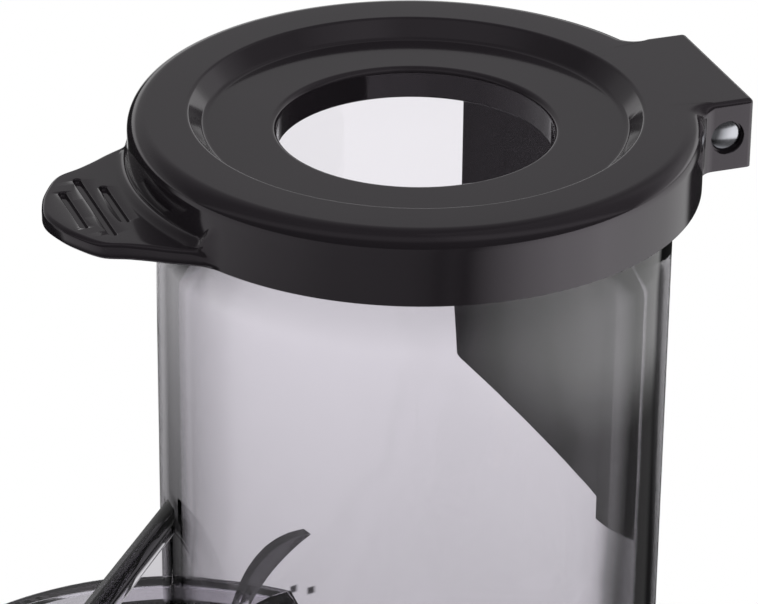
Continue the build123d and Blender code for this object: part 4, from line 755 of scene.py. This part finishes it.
# %% Sizes of the lid, in millimetres from the middle of its flat top
LID_R, SKIRT_IN, SKIRT_LOW, TOP_ROUND = 47.46, 45.7, -12.3, 3.1
BLOCK_END, BLOCK_HALF, BLOCK_CORNER, BLOCK_ROUND = 54.4, 14.5, 0.9, 0.9
BLEND_R, BLEND_V = 3.0, 17.5  # the hollow rounding between the block and the round rim
BLEND_U = sqrt((LID_R + BLEND_R) ** 2 - BLEND_V ** 2)
BLEND_TURN = degrees(atan2(BLEND_V, BLEND_U))
HINGE_U, HINGE_DROP = HINGE_Y - TUBE_Y, HINGE_Z - TOP_Z
print("hinge blend ends at", round(BLEND_TURN, 2), "degrees")

# %% [markdown]
# The thumb tab runs out of the round rim and back in one soft line. A mould maker draws
# it from arcs that ease into each other. Here a few typed radii are joined by a curve that
# never overshoots, so the tab keeps its straight flanks and gets no bulge between them.

# %% Radius of the tab's outline
TAB_TOP = -9.5
TAB_SHAPE = [(0, 63.5), (5.05, 62.54), (8.94, 61.14), (12.66, 59.34), (15.58, 55.85),
             (19.71, 52.47), (29.5, LID_R)]  # degrees from the tab's middle, and radius


def tab_radius(turn):
    """Radius of the outline at an angle from the tab's middle: smooth through TAB_SHAPE."""
    turn = abs(turn)
    if turn >= TAB_SHAPE[-1][0]:
        return LID_R
    rises = [(b[1] - a[1]) / (b[0] - a[0]) for a, b in zip(TAB_SHAPE, TAB_SHAPE[1:])]
    slopes = [0.0, *[2 * p * q / (p + q) for p, q in zip(rises, rises[1:])], 0.0]
    k = max(i for i, spot in enumerate(TAB_SHAPE) if spot[0] <= turn)
    (x0, y0), (x1, y1) = TAB_SHAPE[k], TAB_SHAPE[k + 1]
    wide, t = x1 - x0, (turn - x0) / (x1 - x0)
    return ((1 + 2 * t) * (1 - t) ** 2 * y0 + t * (1 - t) ** 2 * wide * slopes[k]
            + t * t * (3 - 2 * t) * y1 + t * t * (t - 1) * wide * slopes[k + 1])


print("tab radius 10 degrees aside", round(tab_radius(10), 2), "mm")

# %% [markdown]
# A moulded lid has rounded edges, so its outline is needed again and again, each time a
# little further in. Offsetting a mesh by hand leaves crossed corners where the outline turns
# inwards. Working out each inset outline from the sizes keeps the corners clean.

# %% Outline of the lid at any inset
def half_outline(inset):
    """Points (behind the middle, sideways, share of the block) from hinge to tab."""
    corner = max(BLOCK_CORNER, inset + 0.15)
    small = corner - inset
    end, side = BLOCK_END - inset, BLOCK_HALF - inset
    points = [(end, (side - small) * t, 1.0) for t in [0, *steps_between(0, 1, 8)]]
    points += [(u, v, 1.0) for u, v in arc((end - small, side - small), small, 0, 90, 6)[1:]]
    points += [(u, side, 1.0) for u in steps_between(end - small, BLEND_U, 3)]
    span, hollow = 90 - BLEND_TURN, BLEND_R + inset
    points += [(BLEND_U - hollow * sin(radians(a)), BLEND_V - hollow * cos(radians(a)),
                1 - a / span) for a in steps_between(0, span, 12)]
    turns = [*steps_between(BLEND_TURN, 148, 84), *steps_between(148, 180, 64)]
    points += [((LID_R - inset) * cos(radians(a)), (LID_R - inset) * sin(radians(a)), 0.0)
               for a in turns]
    return points


HALF = half_outline(0)
TURNS = [degrees(atan2(v, u)) for u, v, block in HALF]
print("columns", 2 * len(HALF) - 2)

# %% [markdown]
# The loops are worked out in millimetres from the lid's own middle, and the juicer's frame
# is in metres from the axis of its screw. One place turns the one into the other, so that no
# size is converted twice. A half loop is mirrored, since the lid is the same on both sides.

# %% Loops of points in the scene's metres
LID_MIDDLE = Vector((0, TUBE_Y / 1000, TOP_Z / 1000))


def at(u, v, z):
    """A point u millimetres behind the lid's middle, v to its right, and z above its top."""
    return (LID_MIDDLE.x + v / 1000, LID_MIDDLE.y + u / 1000, LID_MIDDLE.z + z / 1000)


def both_sides(points):
    """Mirrors a half loop of (u, v, z) so that it goes all the way round."""
    back = [(u, -v, z) for u, v, z in points[-2:0:-1]]
    return [at(*point) for point in [*points, *back]]


def round_loop(radius, z, relief=0.0):
    """A circle with the lid's own columns; relief widens it behind the hinge block."""
    points = []
    for turn in TURNS:
        wide = radius + relief * min(1.0, max(0.0, (19.5 - turn) / 2.0))
        points.append((wide * cos(radians(turn)), wide * sin(radians(turn)), z))
    return both_sides(points)


def top_loop(turned_up):
    """A loop on the rounded top edge, from 0 degrees on the wall to 90 on the top."""
    rounds = [TOP_ROUND + (BLOCK_ROUND - TOP_ROUND) * block for u, v, block in HALF]
    lookup = {r: half_outline(r * (1 - cos(radians(turned_up)))) for r in set(rounds)}
    points = []
    for k, radius in enumerate(rounds):
        u, v, block = lookup[radius][k]
        points.append((u, v, -radius * (1 - sin(radians(turned_up)))))
    return both_sides(points)


print("points in a loop", len(round_loop(LID_R, 0)))

# %% [markdown]
# The tab's edge and the skirt behind it are one ribbon of loops. Where there is a tab, a
# loop lies at the tab's height; where there is none, it lies on the skirt; and in between
# it climbs smoothly. Two separate forms and a join would leave a hard line there.

# %% Loops round the tab and the skirt
def edge_loop(z_tab, z_skirt, out, inset=0.0, fillet=0.0):
    """A loop on the tab and skirt; out goes from 1 at the tab's edge to 0 at the skirt."""
    points = []
    for (u, v, block), turn in zip(HALF, TURNS):
        reach = tab_radius(180 - turn) - LID_R
        if reach <= 0:
            points.append((u, v, z_skirt))
            continue
        share = min(1.0, reach / 2.2)
        share = share * share * (3 - 2 * share)
        soft_edge = min(inset, 0.4 * reach)
        soft_foot = min(fillet, 0.45 * reach)
        radius = LID_R + soft_foot + out * (reach - soft_edge - soft_foot)
        z = share * z_tab + (1 - share) * z_skirt
        points.append((radius * cos(radians(turn)), radius * sin(radians(turn)), z))
    return both_sides(points)


print("loop round the tab", len(edge_loop(TAB_TOP, TAB_TOP, 1.0)), "points")

# %% [markdown]
# The loops now follow the lid's section. From inside the skirt the wall goes down to its
# lower edge, out along the underside of the tab, round the tab's edge and back over its
# top to a soft foot at the skirt, up the skirt, over the rounded shoulder, across the flat
# top, down the dished ring to the hole, and back underneath.

# %% Lid shell
LOW_ROUND, LOW_INSET, TAB_EDGE, TAB_FOOT, SKIRT_TOP = 0.5, 0.6, 0.9, 2.0, -4.6
loops = [round_loop(SKIRT_IN, z, relief=1.0) for z in (-3.0, -6.0, SKIRT_LOW)]
loops.append(edge_loop(SKIRT_LOW, SKIRT_LOW, 1.0, inset=LOW_INSET))
for a in (30, 60, 90):
    z = SKIRT_LOW + LOW_ROUND * (1 - cos(radians(a)))
    loops.append(edge_loop(z, z, 1.0, inset=LOW_INSET * (1 - sin(radians(a)))))
wall = iter(steps_between(SKIRT_LOW + LOW_ROUND, SKIRT_TOP, 15))
for a in (0, 18, 36, 54, 72, 90):
    loops.append(edge_loop(TAB_TOP - TAB_EDGE * (1 - sin(radians(a))), next(wall), 1.0,
                           inset=TAB_EDGE * (1 - cos(radians(a)))))
for out in (0.66, 0.33, 0.0):
    loops.append(edge_loop(TAB_TOP, next(wall), out, inset=TAB_EDGE, fillet=TAB_FOOT))
for a in (15, 30, 45, 60, 75, 90):
    loops.append(edge_loop(TAB_TOP + TAB_FOOT * (1 - cos(radians(a))), next(wall), 0.0,
                           fillet=TAB_FOOT * (1 - sin(radians(a)))))
loops += [top_loop(a) for a in range(0, 91, 9)]
dish = softened([(41.0, 0, 0), (37.5, 0, 0.9), (34.9, -3.04, 1.3), (22.88, -3.04, 1.1),
                 (22.88, -8.54, 0.4), (25.18, -8.54, 0.4), (25.18, -5.64, 0.6),
                 (36.9, -5.64, 0.5), (39.2, -2.7, 0.5), (SKIRT_IN, -2.7, 0)], 7)
loops += [round_loop(radius, z, relief=float(radius == SKIRT_IN)) for radius, z in dish]
lid = through_loops("lid_moulding", loops)
print("lid loops", len(loops))

# %% [markdown]
# Three things are cut into the shell: the gap between the two hinge ears, a shallow round
# recess in each ear for the end of the pin, and three grip grooves in the thumb tab. Each
# cutter is a primitive at its true place. The grooves flare at the top, so that their
# rims catch a thin line of light as a moulded edge does.

# %% Cuts in the lid
GAP_HALF, GROOVE_HALF = 8.0, 0.65
GROOVE_STEPS = [(0.35, -0.72), (0.5, -0.6), (0.6, -0.3), (0.68, -0.12), (0.86, 0.0), (1.2, 0.08)]


def groove(reach, length):
    """A capsule with flared walls, across the tab."""
    def capsule(half, z):
        """A half circle round each end of the groove's middle line."""
        ends = [(side, radians(a)) for side, start in ((1, -90), (-1, 90))
                for a in range(start, start + 181, 15)]
        return [at(half * sin(a) - reach, side * (length / 2 - GROOVE_HALF) + half * cos(a),
                   TAB_TOP + z) for side, a in ends]

    return through_loops("groove", [capsule(*step) for step in GROOVE_STEPS], filled=True)


def pin_recess(side):
    rest()
    bpy.ops.mesh.primitive_cylinder_add(
        vertices=64, radius=0.003, depth=0.0016, rotation=(0, pi / 2, 0),
        location=at(HINGE_U, side * BLOCK_HALF, HINGE_DROP))
    bpy.ops.object.transform_apply(location=True, rotation=True, scale=True)
    return bpy.context.object


low, high = Vector(at(44.2, -GAP_HALF, -30)), Vector(at(60, GAP_HALF, -2.2))
bpy.ops.mesh.primitive_cube_add(size=1, location=(low + high) / 2, scale=high - low)
bpy.ops.object.transform_apply(location=True, rotation=True, scale=True)
cut(lid, bpy.context.object)
cut(lid, pin_recess(-1), pin_recess(1))
cut(lid, *[groove(reach, length) for reach, length in ((58.6, 14), (55.0, 22), (51.7, 14))])
tidy(lid, 35)
settle(lid, "lid", "lid_plastic", "chute_lid")
print("lid box", [round(side, 4) for side in lid.dimensions])

# %% [markdown]
# The steel pin shows as a small bright disc in each hinge ear. A riveting tool leaves its
# ends domed and a little wider than the pin, so it is turned from a section that opens
# into a flat dome at each end.

# %% Hinge pin
pin_head = [(0.2, -14.25), (1, -14.19), (1.8, -14.04), (2.4, -13.86), (2.7, -13.74)]
pin_section = [*pin_head, (2.3, -13.7), (2.3, 13.7), *[(r, -x) for r, x in reversed(pin_head)]]
pin = turned("hinge_pin_turned", (0, HINGE_Y, HINGE_Z), pin_section, 48, along=(1, 0, 0))
tidy(pin, 30)
settle(pin, "lid", "bright_pin", "hinge_pin")
print("pin", [round(side, 4) for side in pin.dimensions])

# %% [markdown]
# ## The clear cover
# The real cover is one clear moulding: a round platform over the bowl, the feed tube that
# stands on it behind the middle, thin ribs, and the bracket of the hinge. It could be
# extruded as one shell like the lid, but its parts meet at odd angles. So each form is
# made solid first, then they are joined, and the hollows are cut out last, the way the
# two halves of a mould leave them.

# %% Platform and tube
MIDDLE, TUBE_AT = (0, 0, 0), (0, TUBE_Y, 0)
RINGS = (402, 443)  # heights of extra rings, which keep the tube's long faces even
FLOOR_LOW, FLOOR_HIGH = (22.51, 326.3), (82.4, 351.8)  # the chute's floor: y and height


def slanted(piece, lowered):
    """Drops the lower ring of a tube to the chute's sloping floor."""
    (y0, z0), (y1, z1) = FLOOR_LOW, FLOOR_HIGH
    low = min(vertex.co.z for vertex in piece.data.vertices)
    for vertex in piece.data.vertices:
        if vertex.co.z < low + 0.0001:
            rise = (z1 - z0) * (1000 * vertex.co.y - y0) / (y1 - y0)
            vertex.co.z = (z0 + rise - lowered) / 1000
    return piece


rim = arc((53.0, PLATFORM_Z - 1), 1.0, 90, 22, 5)
cover = turned("clear_cover", MIDDLE, [
    (30, PLATFORM_Z), *rim, (59.7, 339.3), (60, 338.2), (60, 310.8), (59.7, 310.3),
    (57.6, 310.3), (57.3, 310.6), (57.3, 322.6), (56, 322.6), (56, 338.3), (51, 351.3),
    (30, 351.3)], 192)
chamber = turned("chamber", MIDDLE, [(47, 324.6), (47, 352.3)], 192)
tube_end = [(TUBE_R, 463.0), (42.9, 463.4), (42.6, 463.7), (42.2, 463.8), (20, 463.8)]
tube_section = [(TUBE_R, 320.0), *[(TUBE_R, z) for z in RINGS], *tube_end]
tube = slanted(turned("tube", TUBE_AT, tube_section, 256), 3.0)
print("platform and tube faces", len(cover.data.polygons), len(tube.data.polygons))

# %% [markdown]
# The front rib is a thin web under a wider edge that runs up to the tube. Behind the tube a
# bracket with a rounded end carries the hinge pin. Both are flat outlines pushed straight
# through, as a mould maker mills them. Boxes turned to fit would leave steps at the slope.

# %% Front rib and hinge bracket
WEB_HALF, EDGE_HALF, BRACKET_HALF = 0.8, 2, 7.6


def prism(name, corners, push, round_off=0.0):
    """A flat outline of corners, pushed along a vector to make it solid."""
    rest()
    bpy.ops.mesh.primitive_circle_add(vertices=len(corners), radius=1, fill_type="NGON")
    piece = bpy.context.object
    piece.name = piece.data.name = name
    for vertex, corner in zip(piece.data.vertices, corners):
        vertex.co = Vector(corner) / 1000
    whole_mesh(piece)
    bpy.ops.mesh.extrude_region_move(TRANSFORM_OT_translate={"value": tuple(Vector(push) / 1000)})
    face_out(piece)
    if round_off:
        apply(piece, "BEVEL", width=round_off / 1000, segments=3, limit_method="ANGLE",
              angle_limit=radians(40))
    return piece


def across(name, half, outline, round_off=0.0):
    """A prism of (y, z) points that reaches half its width to each side of the middle."""
    return prism(name, [(-half, y, z) for y, z in outline], (2 * half, 0, 0), round_off)


foot = -(RIB_TOP - PLATFORM_Z) / tan(RIB_SLOPE)
under = PLATFORM_Z - 1
web = across("web", WEB_HALF, [(1, RIB_TOP - 0.5), (0, RIB_TOP - 0.5), (foot + 0.5, PLATFORM_Z),
                               (foot + 0.5, under), (1, under)])
edge = across("edge", EDGE_HALF, [
    (1.2, RIB_TOP + 0.7), (0, RIB_TOP), (foot, PLATFORM_Z), (foot, under - 0.4),
    (foot + 5.2, under - 0.4), (1.2, RIB_TOP + 0.7 - 2.6 / cos(RIB_SLOPE))], 0.35)
knuckle = arc((HINGE_Y, HINGE_Z), 3.8, 100, -50, 14)
bracket = across("bracket", BRACKET_HALF, [(84.5, 463.5), *knuckle, (84.5, 444.2)], 0.4)
print("rib foot", round(foot, 2), "mm in front of the middle")

# %% [markdown]
# A curved fin hugs the tube at each side and ends in a hooked tip. Its outline is seen from
# the front, so it is cut out of a ring round the tube: first a thick flat fin, then only
# what lies in the ring is kept. Bending a flat fin round the tube would need a helper.

# %% Side fins
FIN_ACROSS, FIN_PUSH = radians(-70), radians(200)
FIN_IN, FIN_OUT = 41.6, 45.5
TIP, OVER, UPPER = (-10.2, -102.2), (1.6, -104.4), (10.2, -113.5)
LOWER, UNDER = (6.2, -113.5), (-0.4, -107.8)


def curve(a, b, c, count=8):
    """Points on the quadratic curve through three points."""
    points = []
    for t in (k / count for k in range(count + 1)):
        shares = ((1 - t) * (1 - 2 * t), 4 * t * (1 - t), t * (2 * t - 1))
        points.append(tuple(sum(s * p[i] for s, p in zip(shares, (a, b, c))) for i in (0, 1)))
    return points


def side_fin(side):
    """A curved fin cut from a ring round the tube, on one side of the cover."""
    aside = Vector((cos(FIN_ACROSS), sin(FIN_ACROSS), 0))
    away = Vector((cos(FIN_PUSH), sin(FIN_PUSH), 0))
    spots = [Vector((0, TUBE_Y, TOP_Z + z)) + aside * p
             for p, z in [*curve(TIP, OVER, UPPER), *curve(LOWER, UNDER, TIP)[:-1]]]
    fin = prism("fin", [(side * spot.x, spot.y, spot.z) for spot in spots],
                (side * away.x * 70, away.y * 70, 0))
    ring = turned("fin_outside", TUBE_AT, [(FIN_OUT, 345), (FIN_OUT, 370)], 192)
    cut(fin, ring, operation="INTERSECT")
    cut(fin, turned("fin_inside", TUBE_AT, [(FIN_IN, 340), (FIN_IN, 375)], 192))
    return fin


fins = [side_fin(side) for side in (1, -1)]
print("fin faces", [len(fin.data.polygons) for fin in fins])

# %% [markdown]
# The solid forms are joined to the platform, and then the hollows go in: the feed bore
# down to its sloping floor, the chamber over the auger's head, the bore of the hinge pin,
# and the blind hole of the auger's top bush with a boss around it. The order matters,
# because a join after the cutting would fill the hollows again.

# %% Join the forms and cut the hollows
cut(cover, chamber, tube, operation="UNION")
bore_end = [(BORE_R, 463.2), (39.7, 463.9), (39.7, 470)]
bore_section = [(BORE_R, 318.0), *[(BORE_R, z) for z in RINGS], *bore_end]
bore = slanted(turned("bore", TUBE_AT, bore_section, 256), 0.0)
hollow = turned("hollow", MIDDLE, [(44, 324.0), (44, 351.3)], 192)
cut(cover, bore, hollow)
boss = turned("boss", MIDDLE, [(8, 340.3), (8, 352.3)], 64)
cut(cover, boss, web, edge, bracket, *fins, operation="UNION")
bush_hole = turned("bush_hole", MIDDLE, [(5.5, 339), (5.5, 350.3)], 48)
pin_bore = turned("pin_bore", (0, HINGE_Y, HINGE_Z), [(2.35, -15), (2.35, 15)], 48, along=(1, 0, 0))
cut(cover, bush_hole, pin_bore)
tidy(cover, 30, weighted=False, merge=5 * MERGE)  # also closes slivers that a join leaves
settle(cover, "cover", "clear_plastic", "cover")
print("cover box", [round(side, 4) for side in cover.dimensions])

# %% [markdown]
